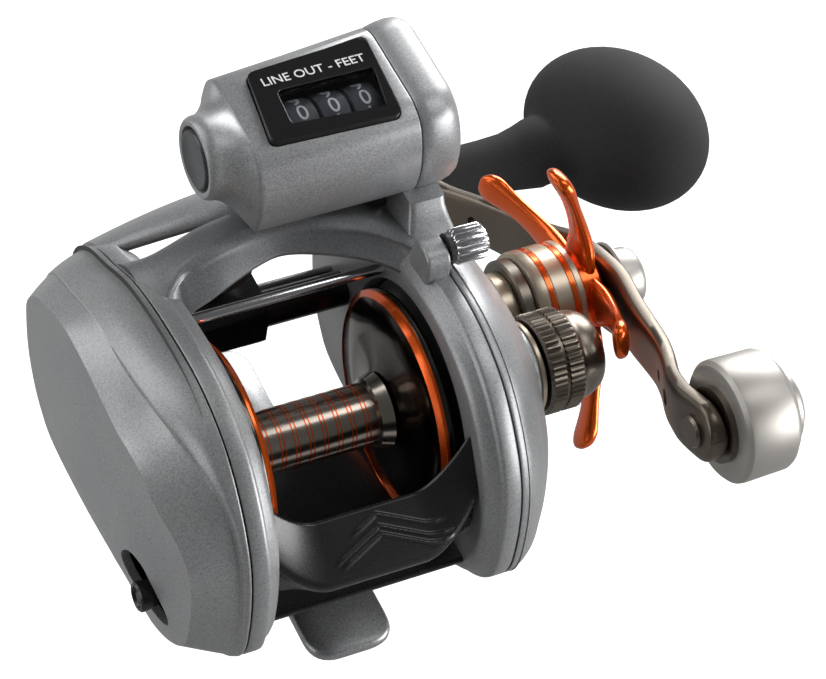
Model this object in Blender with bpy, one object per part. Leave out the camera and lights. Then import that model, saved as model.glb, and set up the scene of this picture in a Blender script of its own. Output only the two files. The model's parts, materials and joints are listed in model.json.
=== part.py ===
"""Low-profile trolling reel with a mechanical line counter, for Blender 4.5.

Every size is in millimetres. X runs along the spool towards the handle, Y points at the rod tip and Z up
off the rod. Points are measured from the spool axis. The file's origin is on the underside of the foot,
SPOOL_HEIGHT below that axis. Each sub-part is one closed solid, and a moving one has its origin on its axis.
"""
import math

import bmesh
import bpy
from mathutils import Vector

MM = 0.001
SPOOL_HEIGHT = 27.0
GAP = 0.3  # left between neighbouring parts

# Spool and frame
FLANGE_R = 21.0
FLANGE_X = 16.5
BARREL_R = 5.65
HOLE_R = 22.3
RING_IN, RING_OUT = 19.0, 25.0
PLATE_IN = RING_OUT + GAP
PALM_OUT, GEAR_OUT = 40.0, 41.0
DECK_TOP, DECK_BOTTOM = -21.9, -24.3
FOOT_TOP, FOOT_BOTTOM = DECK_BOTTOM - GAP, -SPOOL_HEIGHT
FOOT_CENTRE_X, FOOT_HALF_WIDTH, FOOT_CORNER = -1.8, 8.1, 3.2
FOOT_REAR, FOOT_FRONT = -30.4, 39.5
SHAFT_R = 1.25

# Gear train: the pinion is on the spool axis, the main gear on the drive axis
DRIVE_Y, DRIVE_Z = 18.3, -7.5
DRIVE_SHAFT_R = 2.8
MAIN_TEETH, PINION_TEETH = 54, 10
GEAR_X0, GEAR_X1 = 27.2, 30.6
LEVEL_TEETH, WORM_TEETH = 24, 12
LEVEL_X0, LEVEL_X1 = 25.7, 26.7

# Level wind
WORM_Y, WORM_Z = 28.5, -1.0
RAIL_Y, RAIL_Z = 33.3, -1.2
GUARD_R, GUARD_BORE_R, WORM_R = 3.3, 2.3, 1.8
CARRIAGE_X0, CARRIAGE_X1 = -11.0, 2.6

# Line counter
COUNTER_Y, COUNTER_Z = 33.5, 38.8
COUNTER_X0, COUNTER_X1, COUNTER_END = -3.0, 25.4, 35.6
WHEEL_R, WHEEL_WIDTH, WHEEL_STEP, FIRST_WHEEL_X = 5.6, 5.5, 5.9, 5.3

SCREW_Y, SCREW_Z = 7.6, 30.3  # the thumbscrew beside the counter's bracket
PAWL_Y, PAWL_Z = 3.2, 5.9
CLICK_Y, CLICK_Z, CLICK_TRAVEL = -17.7, -7.9, 5.0
CLICK_ALONG = (0.79, 0.613)  # the way the click button slides, in Y and Z

# Handle
ARM_DIRECTION = Vector((0.0, -0.907, 0.421)).normalized()  # from the drive axis to the counterweight
ARM_REACH = 57.0
ARM_X, ARM_THICK, ARM_BEND = 68.0, 3.4, 11.0
BEND = [(0, 0.0), (10, 0.3), (20, 2.4), (32, 4.8), (38, 6.8), (44, 9.3), (50, 10.8), (52, 11.0)]  # reach, inwards
STAR_ARMS, STAR_R, STAR_X, STAR_THICK, STAR_BEND = 5, 28.6, 62.2, 2.8, 6.4
STAR_PHASE = math.radians(5.0)

BODY_OUTLINE = [(45, 3), (44.2, 9), (39.5, 14.5), (32, 18.5), (23, 23.2), (11, 26.3), (-4, 27.6), (-16, 24.4),
                (-25, 17), (-30.5, 8), (-32.5, -4), (-31, -14), (-22, -22), (-10, -24.2), (26, -24.2),
                (37, -19.5), (43, -9)]
GEAR_OUTLINE = [(45, 3), (44.2, 9), (39.5, 14.5), (32, 18.5), (23, 23.2), (11, 26.3), (-4, 27.6), (-16, 24.4),
                (-25, 17), (-30.5, 8), (-32.5, -4), (-31, -14), (-22, -21.5), (-8, -23), (6, -25), (18, -26),
                (30, -24.5), (38, -18), (43, -8)]


# ---------- tools ----------

def clear_scene():
    for obj in list(bpy.data.objects):
        bpy.data.objects.remove(obj)


def material(name, color, roughness, metallic):
    found = bpy.data.materials.get(name)
    if found:
        return found
    made = bpy.data.materials.new(name)
    made.use_nodes = True
    shader = made.node_tree.nodes["Principled BSDF"]
    shader.inputs["Base Color"].default_value = (*color, 1.0)
    shader.inputs["Roughness"].default_value = roughness
    shader.inputs["Metallic"].default_value = metallic
    return made


FINISHES = {
    "silver_paint": ((0.42, 0.43, 0.44), 0.36, 0.6),
    "graphite_paint": ((0.10, 0.105, 0.11), 0.38, 0.5),
    "black_plastic": ((0.02, 0.02, 0.02), 0.45, 0.0),
    "dark_gloss": ((0.03, 0.028, 0.025), 0.15, 0.3),
    "gunmetal": ((0.30, 0.27, 0.23), 0.2, 1.0),
    "orange_anodised": ((0.85, 0.26, 0.04), 0.3, 0.8),
    "bronze": ((0.34, 0.30, 0.25), 0.3, 1.0),
    "stainless": ((0.72, 0.71, 0.69), 0.25, 1.0),
    "chrome": ((0.85, 0.85, 0.85), 0.08, 1.0),
    "brass": ((0.72, 0.55, 0.25), 0.3, 1.0),
    "foam": ((0.05, 0.05, 0.052), 0.85, 0.0),
    "lens": ((0.03, 0.03, 0.03), 0.05, 0.0),
    "fibre": ((0.08, 0.07, 0.06), 0.8, 0.0),
    "wheel_plastic": ((0.05, 0.05, 0.05), 0.5, 0.0),
}


def make_object(name, finish, points, faces, origin=(0.0, 0.0, 0.0)):
    """One mesh object from points in millimetres, its origin at the given point."""
    mesh = bpy.data.meshes.new(name)
    base = Vector(origin)
    mesh.from_pydata([(Vector(p) - base) * MM for p in points], [], faces)
    work = bmesh.new()
    work.from_mesh(mesh)
    bmesh.ops.recalc_face_normals(work, faces=work.faces)
    if work.calc_volume(signed=True) < 0:
        bmesh.ops.reverse_faces(work, faces=work.faces)
    work.to_mesh(mesh)
    work.free()
    obj = bpy.data.objects.new(name, mesh)
    obj.location = (base + Vector((0, 0, SPOOL_HEIGHT))) * MM
    bpy.context.scene.collection.objects.link(obj)
    obj.data.materials.append(material(finish, *FINISHES[finish]))
    return obj


def stack(name, finish, rings, origin=(0.0, 0.0, 0.0), closed=False):
    """Skin a list of rings of equal length. closed joins the last ring to the first, for a tube's wall."""
    count = len(rings[0])
    points = [p for ring in rings for p in ring]
    faces = []
    spans = len(rings) if closed else len(rings) - 1
    for i in range(spans):
        a, b = i * count, ((i + 1) % len(rings)) * count
        for k in range(count):
            n = (k + 1) % count
            faces.append((a + k, a + n, b + n, b + k))
    if not closed:
        faces.append(tuple(range(count))[::-1])
        faces.append(tuple(range(len(points) - count, len(points))))
    return make_object(name, finish, points, faces, origin)


def circle(x, radius, y, z, sides):
    """A ring of points round an axis parallel to X."""
    turns = [2 * math.pi * k / sides for k in range(sides)]
    return [(x, y + radius * math.cos(t), z + radius * math.sin(t)) for t in turns]


def turned(name, finish, profile, y=0.0, z=0.0, sides=32, bore=None):
    """Revolve (x, radius) points round an axis parallel to X, solid or round a bore."""
    rings = [circle(x, r, y, z, sides) for x, r in profile]
    if bore:
        rings += [circle(profile[-1][0], bore, y, z, sides), circle(profile[0][0], bore, y, z, sides)]
    return stack(name, finish, rings, (0.0, y, z), closed=bool(bore))


def prism(name, finish, outline, x0, x1, origin=(0.0, 0.0, 0.0)):
    """An outline of (y, z) points drawn out along X."""
    return stack(name, finish, [[(x, y, z) for y, z in outline] for x in (x0, x1)], origin)


def loft(name, finish, outline, sections, centre):
    """The outline at several x, each scaled about a centre."""
    cy, cz = centre
    rings = [[(x, cy + s * (y - cy), cz + s * (z - cz)) for y, z in outline] for x, s in sections]
    return stack(name, finish, rings)


def block(name, finish, low, high):
    (x0, y0, z0), (x1, y1, z1) = low, high
    return prism(name, finish, [(y0, z0), (y1, z0), (y1, z1), (y0, z1)], x0, x1)


def post(name, finish, x, y, z0, z1, radius, sides=16):
    """A cylinder standing along Z."""
    turns = [2 * math.pi * k / sides for k in range(sides)]
    rings = [[(x + radius * math.cos(t), y + radius * math.sin(t), z) for t in turns] for z in (z0, z1)]
    return stack(name, finish, rings)


def combine(target, tool, operation):
    """Boolean the tool into the target, keep the result and drop the tool."""
    modifier = target.modifiers.new(operation.lower(), "BOOLEAN")
    modifier.operation = operation
    modifier.object = tool
    modifier.solver = "EXACT"
    bpy.context.view_layer.update()
    graph = bpy.context.evaluated_depsgraph_get()
    result = bpy.data.meshes.new_from_object(target.evaluated_get(graph))
    target.modifiers.clear()
    target.data = result
    bpy.data.objects.remove(tool)


def cut(target, tool):
    combine(target, tool, "DIFFERENCE")


def join(target, tool):
    combine(target, tool, "UNION")


def smooth_loop(points, steps=2):
    """A closed Catmull-Rom curve through the points."""
    out = []
    for i in range(len(points)):
        a, b, c, d = (Vector(points[(i + k) % len(points)]) for k in (-1, 0, 1, 2))
        for j in range(steps):
            t = j / steps
            out.append(tuple(0.5 * (2 * b + (c - a) * t + (2 * a - 5 * b + 4 * c - d) * t ** 2
                                    + (3 * b - a - 3 * c + d) * t ** 3)))
    return out


def gear_outline(teeth, pitch_r, module, phase, y, z):
    """Straight-sided teeth. One tooth's centre is at the phase angle."""
    tip_r, root_r = pitch_r + 0.8 * module, pitch_r - 1.1 * module
    outline = []
    for k in range(teeth):
        centre = phase + 2 * math.pi * k / teeth
        for radius, part in ((root_r, -0.28), (tip_r, -0.11), (tip_r, 0.11), (root_r, 0.28)):
            angle = centre + part * 2 * math.pi / teeth
            outline.append((y + radius * math.cos(angle), z + radius * math.sin(angle)))
    return outline


def gear(name, finish, teeth, pitch_r, module, phase, y, z, x0, x1, bore):
    made = prism(name, finish, gear_outline(teeth, pitch_r, module, phase, y, z), x0, x1, (0.0, y, z))
    if bore:
        cut(made, turned("bore", finish, [(x0 - 1, bore), (x1 + 1, bore)], y, z, 20))
    return made


def arm_point(reach, across, x):
    """A point on the handle: reach along the arm from the drive axis, across it, and x."""
    side = Vector((0.0, -ARM_DIRECTION.z, ARM_DIRECTION.y))
    at = Vector((x, DRIVE_Y, DRIVE_Z)) + ARM_DIRECTION * reach + side * across
    return tuple(at)


def arm_shift(reach):
    """How far the swept arm has come inwards at this reach."""
    for (near, before), (far, after) in zip(BEND, BEND[1:]):
        if abs(reach) <= far:
            return -(before + (after - before) * (abs(reach) - near) / (far - near))
    return -ARM_BEND


# ---------- fixed parts ----------

def build_frame():
    """Two side rings, the arch over the front of the spool, the deck, the front bar and the thumbscrew lug."""
    outline = smooth_loop(BODY_OUTLINE)
    frame = prism("frame", "silver_paint", outline, -RING_OUT, -RING_IN)
    right = prism("right", "silver_paint", outline, RING_IN, RING_OUT)
    arch = prism("arch", "silver_paint", [(17.6, 25.6), (20, 28), (26, 28.2), (33, 21), (31, 18.6), (22, 23.6)],
                 -RING_IN - 1, RING_IN + 1)
    deck = block("deck", "silver_paint", (-RING_IN - 1, -13, DECK_BOTTOM), (RING_IN + 1, 20, DECK_TOP))
    bar = prism("bar", "silver_paint", [(38, -18), (41, -18), (41, -12.5), (38, -12.5)],
                -RING_IN - 1, RING_IN + 1)
    lug = prism("lug", "silver_paint", [(3.5, 24), (12, 24), (11, 32.4), (4.6, 32.4)], 20.5, RING_OUT)
    hole = turned("hole", "silver_paint", [(-RING_OUT - 1, HOLE_R), (RING_OUT + 1, HOLE_R)], sides=64)
    join(frame, right)
    cut(frame, hole)
    for piece in (arch, deck, bar, lug):
        join(frame, piece)
    for y, z, r in ((WORM_Y, WORM_Z, GUARD_R + GAP), (RAIL_Y, RAIL_Z, 1.3), (16.0, 18.6, 1.3)):
        cut(frame, turned("bore", "silver_paint", [(-RING_OUT - 1, r), (RING_OUT + 1, r)], y, z, 20))
    for y in (-8.0, 14.0):
        cut(frame, post("tap", "silver_paint", 0, y, DECK_BOTTOM - 1, DECK_TOP + 1, 1.7))
    cut(frame, turned("tap", "silver_paint", [(19, 1.5), (27, 1.5)], SCREW_Y, SCREW_Z, 16))
    cut_thumb_slots(frame)
    return frame


def cut_thumb_slots(frame):
    """The slots in the two side rings that the thumb bar's ears travel in."""
    for side in (-1, 1):
        ear = block("slot", "silver_paint", (side * (RING_IN - 1), -29.4, -11.0), (side * 21.6, -23.6, 4.6))
        cut(frame, ear)


def build_foot():
    """A thin rounded bar that the rod's seat clamps, with two screws up into the deck."""
    steps = 4
    side = FOOT_HALF_WIDTH - FOOT_CORNER
    outline = []
    for quarter, (x, y) in enumerate(((side, FOOT_FRONT - FOOT_CORNER), (-side, FOOT_FRONT - FOOT_CORNER),
                                      (-side, FOOT_REAR + FOOT_CORNER), (side, FOOT_REAR + FOOT_CORNER))):
        for k in range(steps + 1):
            t = math.pi / 2 * (quarter + k / steps)
            outline.append((FOOT_CENTRE_X + x + FOOT_CORNER * math.cos(t), y + FOOT_CORNER * math.sin(t)))
    rings = [[(x, y, z) for x, y in outline] for z in (FOOT_BOTTOM, FOOT_TOP)]
    foot = stack("reel_foot", "graphite_paint", rings)
    for index, y in enumerate((-8.0, 14.0)):
        cut(foot, post("hole", "graphite_paint", 0, y, FOOT_BOTTOM - 1, FOOT_TOP + 1, 1.7))
        post(f"foot_screw_{index + 1}", "stainless", 0, y, FOOT_BOTTOM + 0.4, DECK_TOP - 0.1, 1.4, 12)


def build_rear_deck():
    prism("rear_deck", "black_plastic",
          [(-27.2, -12.8), (-25.6, -15.5), (-22.2, -20.4), (-19.5, -21.5), (-15.4, -21.6), (-14.6, -17.8),
           (-18.4, -13.8), (-19.2, -12.8)], -RING_IN + GAP, RING_IN - GAP)


def build_palm_plate():
    outline = smooth_loop(BODY_OUTLINE)
    centre = (4.0, 1.0)
    plate = loft("palm_side_plate", "silver_paint", outline,
                 [(-PLATE_IN, 1.0), (-32, 0.98), (-36.5, 0.92), (-38.8, 0.82), (-PALM_OUT, 0.66)], centre)
    cut(plate, loft("inside", "silver_paint", outline,
                    [(-PLATE_IN + 1, 0.95), (-31.5, 0.93), (-35.5, 0.86), (-38.4, 0.66)], centre))
    cut(plate, prism("slot", "black_plastic", click_slot(3.2, 3.2, CLICK_TRAVEL + 3.2), -44, -28))


def click_slot(half_width, behind, ahead):
    """The (y, z) corners of a rectangle along the click button's slide, measured from its rest place."""
    dy, dz = CLICK_ALONG
    return [(CLICK_Y + along * dy - across * dz, CLICK_Z + along * dz + across * dy)
            for along, across in ((-behind, -half_width), (ahead, -half_width), (ahead, half_width),
                                  (-behind, half_width))]


def build_clicker():
    """The sliding click button on the palm side, its stem and the tongue it carries inside."""
    knob = turned("clicker_knob", "black_plastic", [(-39.9, 2.2), (-39.5, 2.8), (-37.6, 2.8)],
                  CLICK_Y, CLICK_Z, 20)
    join(knob, turned("stem", "black_plastic", [(-38.0, 1.0), (-28.4, 1.0)], CLICK_Y, CLICK_Z, 12))
    prism("clicker_tongue", "stainless", click_slot(1.5, 1.5, 3.2), -28.1, -26.9)


def build_inner_plates():
    """The discs that close the frame's holes, the bearings and the cast-control boss."""
    turned("brake_plate", "graphite_paint", [(-24.4, 21.9), (-22.4, 21.9)], bore=3.6, sides=40)
    turned("spool_bearing_palm", "stainless", [(-24.6, 3.3), (-22.2, 3.3)], bore=SHAFT_R + 0.1, sides=20)
    turned("magnet_ring", "graphite_paint", [(-21.9, 15.0), (-20.8, 15.0)], bore=11.0, sides=32)
    turned("gear_inner_plate", "graphite_paint", [(22.0, 21.9), (24.0, 21.9)], bore=4.6, sides=40)
    turned("tension_boss", "graphite_paint", [(39.4, 6.2), (41.3, 6.2), (41.3, 5.2), (47.0, 5.2)],
           bore=3.6, sides=32)
    turned("spool_bearing_gear", "stainless", [(42.0, 3.3), (44.4, 3.3)], bore=SHAFT_R + 0.1, sides=20)


def build_gear_plate():
    outline = smooth_loop(GEAR_OUTLINE)
    centre = (18.0, -22.0)
    plate = loft("gear_side_plate", "silver_paint", outline,
                 [(PLATE_IN, 1.0), (28, 0.975), (31.5, 0.91), (35, 0.82), (38, 0.72), (40, 0.63), (GEAR_OUT, 0.56)],
                 centre)
    join(plate, turned("seat", "silver_paint", [(34.0, 8.6), (41.2, 8.6)], sides=32))
    cut(plate, loft("inside", "silver_paint", outline,
                    [(PLATE_IN - 1, 0.965), (31, 0.885), (34.6, 0.79), (37.6, 0.69), (39.2, 0.62)], centre))
    cut(plate, turned("boss", "silver_paint", [(38, 6.5), (43, 6.5)], sides=32))
    cut(plate, turned("hub", "silver_paint", [(38, 6.6), (43, 6.6)], DRIVE_Y, DRIVE_Z, 32))


def build_drive_hub():
    """The stepped sleeve round the drive shaft, outside the gear plate, and the roller clutch in it."""
    turned("hub_sleeve", "bronze", [(39.5, 6.2), (41.3, 6.2), (41.3, 7.4), (48.4, 7.4), (48.4, 9.4), (50.6, 9.4)],
           DRIVE_Y, DRIVE_Z, 24, bore=4.6)
    turned("drive_collar", "bronze", [(50.9, 9.8), (51.6, 10.4), (59.6, 10.4), (60.3, 9.8)],
           DRIVE_Y, DRIVE_Z, 28, bore=4.6)
    turned("one_way_clutch", "stainless", [(42.5, 4.3), (49.5, 4.3)], DRIVE_Y, DRIVE_Z, 24,
           bore=DRIVE_SHAFT_R + 0.15)
    turned("drive_bearing", "stainless", [(53.0, 4.3), (56.0, 4.3)], DRIVE_Y, DRIVE_Z, 24,
           bore=DRIVE_SHAFT_R + 0.15)


def build_front():
    prism("front_hood", "silver_paint",
          [(37.5, 17.4), (42.0, 16.8), (45.6, 14.8), (47.6, 11.6), (46.6, 10.2), (43.0, 12.4), (37.2, 14.8)],
          -RING_IN + GAP, RING_IN - GAP)
    turned("guide_bar", "chrome", [(-21.0, 0.9), (21.0, 0.9)], 16.0, 18.6, 16)
    turned("stabiliser_bar", "stainless", [(-24.5, 0.9), (24.5, 0.9)], RAIL_Y, RAIL_Z, 12)
    guard = turned("worm_guard", "dark_gloss", [(-23.5, GUARD_R), (23.5, GUARD_R)], WORM_Y, WORM_Z, 24,
                   bore=GUARD_BORE_R)
    cut(guard, block("slot", "dark_gloss", (-19, WORM_Y - 0.9, WORM_Z - 5), (19, WORM_Y + 0.9, WORM_Z)))


# ---------- line counter ----------

COUNTER_OUTLINE = [(22.6, 28.9), (22.0, 36.0), (22.8, 43.2), (24.8, 45.8), (28.0, 46.8), (45.4, 46.6),
                   (48.2, 43.6), (50.2, 37.0), (48.2, 28.9)]


def build_counter():
    housing = loft("counter_housing", "silver_paint", COUNTER_OUTLINE, [(COUNTER_X0, 0.92), (COUNTER_X1, 1.0)],
                   (22.6, 28.9))
    x0, x1 = COUNTER_X0 + 3.8, COUNTER_X1 - 1.2
    cut(housing, block("well", "silver_paint", (x0, 26.2, 32.4), (x1, 43.2, 50.0)))
    x0, x1 = x0 + GAP, x1 - GAP
    prism("counter_window", "lens", [(26.5, 44.7), (42.9, 44.7), (42.9, 45.3), (28.5, 45.8), (26.5, 45.4)], x0, x1)
    turned("counter_axle", "stainless", [(x0, 0.8), (x1, 0.8)], COUNTER_Y, COUNTER_Z, 10)
    for index in range(3):
        low = FIRST_WHEEL_X + WHEEL_STEP * index
        name = ("hundreds_wheel", "tens_wheel", "units_wheel")[index]
        turned(name, "wheel_plastic", [(low, WHEEL_R), (low + WHEEL_WIDTH, WHEEL_R)], COUNTER_Y, COUNTER_Z, 20,
               bore=1.0)
    loft("counter_end_cover", "silver_paint", COUNTER_OUTLINE,
         [(COUNTER_X1 + GAP, 1.0), (31.0, 0.98), (34.0, 0.9), (COUNTER_END, 0.74)], (38.0, 34.0))
    bell = turned("reset_bezel", "silver_paint",
                  [(-11.2, 6.9), (-10.6, 7.4), (-8.6, 7.5), (-6.6, 7.9), (COUNTER_X0 - GAP, 8.8)],
                  COUNTER_Y, COUNTER_Z, 32)
    cut(bell, turned("pocket", "silver_paint", [(-14, 5.7), (-5.6, 5.7)], COUNTER_Y, COUNTER_Z, 28))
    turned("reset_button", "graphite_paint", [(-12.0, 4.9), (-11.6, 5.4), (-8.4, 5.4)], COUNTER_Y, COUNTER_Z, 28)
    prism("counter_bracket", "silver_paint", [(13.5, 26.7), (24, 24.9), (21.9, 28.5), (14.5, 30.5)], 25.4, 31.0)


def build_thumbscrew():
    screw = turned("thumbscrew", "chrome", [(26.2, 2.6), (26.6, 3.0), (32.0, 3.0), (32.6, 2.5)], SCREW_Y, SCREW_Z, 20)
    join(screw, turned("stud", "chrome", [(20.8, 1.2), (26.6, 1.2)], SCREW_Y, SCREW_Z, 12))


# ---------- moving parts ----------

def build_spool():
    wall = 1.1
    edge = FLANGE_X + 1.6
    profile = [(-edge, FLANGE_R), (-FLANGE_X, FLANGE_R), (-FLANGE_X + 1.1, FLANGE_R - 1.0), (-14.4, 8.0),
               (-13.4, 6.7), (-11.8, BARREL_R), (11.8, BARREL_R), (13.4, 6.7), (14.4, 8.0),
               (FLANGE_X - 1.1, FLANGE_R - 1.0), (FLANGE_X, FLANGE_R), (edge, FLANGE_R)]
    inner = [(edge, FLANGE_R - wall), (FLANGE_X - 0.6, 9.0), (FLANGE_X - 0.6, 3.4), (13.0, 3.4)]
    inner += [(-x, r) for x, r in reversed(inner)]
    stack("spool", "gunmetal", [circle(x, r, 0, 0, 32) for x, r in profile + inner], closed=True)


def build_spool_shaft():
    turned("spool_shaft", "stainless",
           [(-27.5, SHAFT_R), (-12.0, SHAFT_R), (-12.0, 3.1), (12.0, 3.1), (12.0, SHAFT_R), (45.5, SHAFT_R)],
           sides=20)
    turned("click_gear", "brass", [(-20.4, 6.0), (-19.4, 6.0)], sides=24, bore=SHAFT_R + 0.3)


def build_gears():
    centre_distance = math.hypot(DRIVE_Y, DRIVE_Z)
    towards_pinion = math.atan2(-DRIVE_Z, -DRIVE_Y)
    module = 2 * centre_distance / (MAIN_TEETH + PINION_TEETH)
    gear("main_gear", "brass", MAIN_TEETH, module * MAIN_TEETH / 2, module, towards_pinion,
         DRIVE_Y, DRIVE_Z, GEAR_X0, GEAR_X1, DRIVE_SHAFT_R + GAP)
    pinion = gear("pinion", "brass", PINION_TEETH, module * PINION_TEETH / 2, module,
                  towards_pinion + math.pi + math.pi / PINION_TEETH, 0, 0, GEAR_X0 - 0.8, GEAR_X1 + 0.8, None)
    join(pinion, turned("neck", "brass", [(GEAR_X1, 2.2), (34.6, 2.2), (34.6, 3.6), (36.0, 3.6)], sides=20))
    cut(pinion, turned("bore", "brass", [(20, 1.6), (40, 1.6)], sides=20))
    distance = math.hypot(WORM_Y - DRIVE_Y, WORM_Z - DRIVE_Z)
    towards_worm = math.atan2(WORM_Z - DRIVE_Z, WORM_Y - DRIVE_Y)
    module = 2 * distance / (LEVEL_TEETH + WORM_TEETH)
    gear("level_wind_gear", "wheel_plastic", LEVEL_TEETH, module * LEVEL_TEETH / 2, module, towards_worm,
         DRIVE_Y, DRIVE_Z, LEVEL_X0, LEVEL_X1, DRIVE_SHAFT_R + GAP)
    worm_phase = towards_worm + math.pi + math.pi / WORM_TEETH
    gear("worm_gear", "wheel_plastic", WORM_TEETH, module * WORM_TEETH / 2, module, worm_phase,
         WORM_Y, WORM_Z, LEVEL_X0, LEVEL_X1, 1.3)
    turned("worm_shaft", "stainless", [(-22.5, 1.0), (-19.5, 1.0), (-19.5, WORM_R), (19.5, WORM_R), (19.5, 1.0),
                                       (LEVEL_X1, 1.0)], WORM_Y, WORM_Z, 16)


def build_drag():
    turned("drive_shaft", "stainless",
           [(24.6, 2.2), (26.0, DRIVE_SHAFT_R), (72.6, DRIVE_SHAFT_R), (73.4, 2.2)], DRIVE_Y, DRIVE_Z, 20)
    bore = DRIVE_SHAFT_R + GAP
    washers = (("drag_washer_inner", "fibre", 30.9, 31.8), ("drag_plate_metal", "stainless", 32.1, 32.9),
               ("drag_washer_outer", "fibre", 33.2, 34.1), ("pressure_plate", "stainless", 34.4, 35.4))
    for name, finish, x0, x1 in washers:
        turned(name, finish, [(x0, 13.0), (x1, 13.0)], DRIVE_Y, DRIVE_Z, 28, bore=bore)
    teeth = 10
    outline = []
    for k in range(teeth):
        for radius, part in ((11.5, 0.0), (9.6, 0.08), (10.2, 0.9)):
            t = 2 * math.pi * (k + part) / teeth
            outline.append((DRIVE_Y + radius * math.cos(t), DRIVE_Z + radius * math.sin(t)))
    ratchet = prism("ratchet", "stainless", outline, 36.4, 37.4, (0.0, DRIVE_Y, DRIVE_Z))
    cut(ratchet, turned("bore", "stainless", [(35, bore), (39, bore)], DRIVE_Y, DRIVE_Z, 24))


def build_yoke():
    """The fork that lifts the pinion off the spool when the thumb bar goes down."""
    yoke = prism("clutch_yoke", "black_plastic", [(-14, -3.2), (-14, 3.2), (0.5, 5.6), (5.0, 5.6), (5.0, -5.6),
                                                  (0.5, -5.6)], 32.6, 34.0)
    cut(yoke, turned("fork", "black_plastic", [(31, 2.8), (36, 2.8)], sides=24))
    cut(yoke, block("mouth", "black_plastic", (31, 0, -2.5), (36, 7, 2.5)))
    pawl = prism("anti_reverse_pawl", "stainless", [(1.4, 5.0), (7.6, 0.2), (9.0, 1.4), (4.6, 7.4), (2.2, 7.4)],
                 36.5, 37.3, (0.0, PAWL_Y, PAWL_Z))
    cut(pawl, turned("pivot", "stainless", [(35, 0.6), (39, 0.6)], PAWL_Y, PAWL_Z, 10))


def build_thumb_bar():
    bar = prism("thumb_bar", "black_plastic",
                [(-22.6, 6.6), (-23.8, 6.6), (-31.0, 1.0), (-31.8, -0.6), (-31.2, -2.6), (-27.6, -5.4), (-25.2, -5.2),
                 (-23.4, 0.0)], -RING_IN + GAP, RING_IN - GAP)
    for side in (-1, 1):
        join(bar, block("ear", "black_plastic", (side * (RING_IN - 1.0), -28.4, -4.8), (side * 21.2, -24.6, 3.0)))


def build_cast_knob():
    knob = turned("cast_knob", "bronze",
                  [(43.0, 8.8), (43.6, 9.3), (49.6, 9.3), (50.2, 8.6), (53.0, 7.8), (55.4, 6.0), (56.0, 4.0)], sides=28)
    cut(knob, turned("cavity", "bronze", [(40, 5.6), (48.0, 5.6)], sides=24))


def build_carriage():
    carriage = prism("carriage", "black_plastic",
                     [(24.4, -4.6), (26.0, -7.0), (34.5, -7.0), (36.0, -4.0), (36.0, 2.4), (34.0, 4.2), (26.0, 4.2),
                      (24.4, 2.6)], CARRIAGE_X0, CARRIAGE_X1)
    low, high = CARRIAGE_X0 - 1, CARRIAGE_X1 + 1
    cut(carriage, turned("bore", "black_plastic", [(low, GUARD_R + GAP), (high, GUARD_R + GAP)], WORM_Y, WORM_Z, 24))
    cut(carriage, turned("bore", "black_plastic", [(low, 1.15), (high, 1.15)], RAIL_Y, RAIL_Z, 12))
    middle = (CARRIAGE_X0 + CARRIAGE_X1) / 2
    sides = 24
    turns = [2 * math.pi * k / sides for k in range(sides)]
    rings = []
    for radius, y in ((4.3, 30.0), (4.3, 33.0), (2.6, 33.0), (2.6, 30.0)):
        rings.append([(middle + 1.2 * radius * math.cos(t), y, 8.9 + radius * math.sin(t)) for t in turns])
    stack("line_guide", "stainless", rings, (middle, WORM_Y, WORM_Z), closed=True)


def swept_strip(name, finish, stations, thick, place, origin):
    """A flat bar through (reach, half width, x) stations, its corners put in space by place()."""
    rings = []
    for reach, half_width, x in stations:
        corners = ((half_width, -thick / 2), (half_width, thick / 2), (-half_width, thick / 2),
                   (-half_width, -thick / 2))
        rings.append([place(reach, across, x + lift) for across, lift in corners])
    return stack(name, finish, rings, origin)


def build_star():
    """Five swept arms round a hub. The arms lean towards the reel as they go out."""
    star = turned("star_drag", "orange_anodised", [(61.0, 8.0), (65.6, 8.0)], DRIVE_Y, DRIVE_Z, 28)
    for k in range(STAR_ARMS):
        angle = STAR_PHASE + 2 * math.pi * k / STAR_ARMS
        stations = []
        for reach, half_width in ((6.0, 5.0), (11.0, 4.2), (15.0, 3.1), (19.0, 2.7), (23.6, 2.8), (27.4, 3.2),
                                  (STAR_R, 1.8)):
            lean = STAR_BEND * (max(0.0, reach - 11.0) / (STAR_R - 11.0)) ** 1.4
            stations.append((reach, half_width, STAR_X + STAR_THICK / 2 - lean))

        def place(reach, across, x, angle=angle):
            return (x, DRIVE_Y + reach * math.cos(angle) - across * math.sin(angle),
                    DRIVE_Z + reach * math.sin(angle) + across * math.cos(angle))
        join(star, swept_strip("arm", "orange_anodised", stations, STAR_THICK, place, (0.0, DRIVE_Y, DRIVE_Z)))
    bore = DRIVE_SHAFT_R + GAP
    cut(star, turned("bore", "orange_anodised", [(58, bore), (68, bore)], DRIVE_Y, DRIVE_Z, 20))


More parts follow.
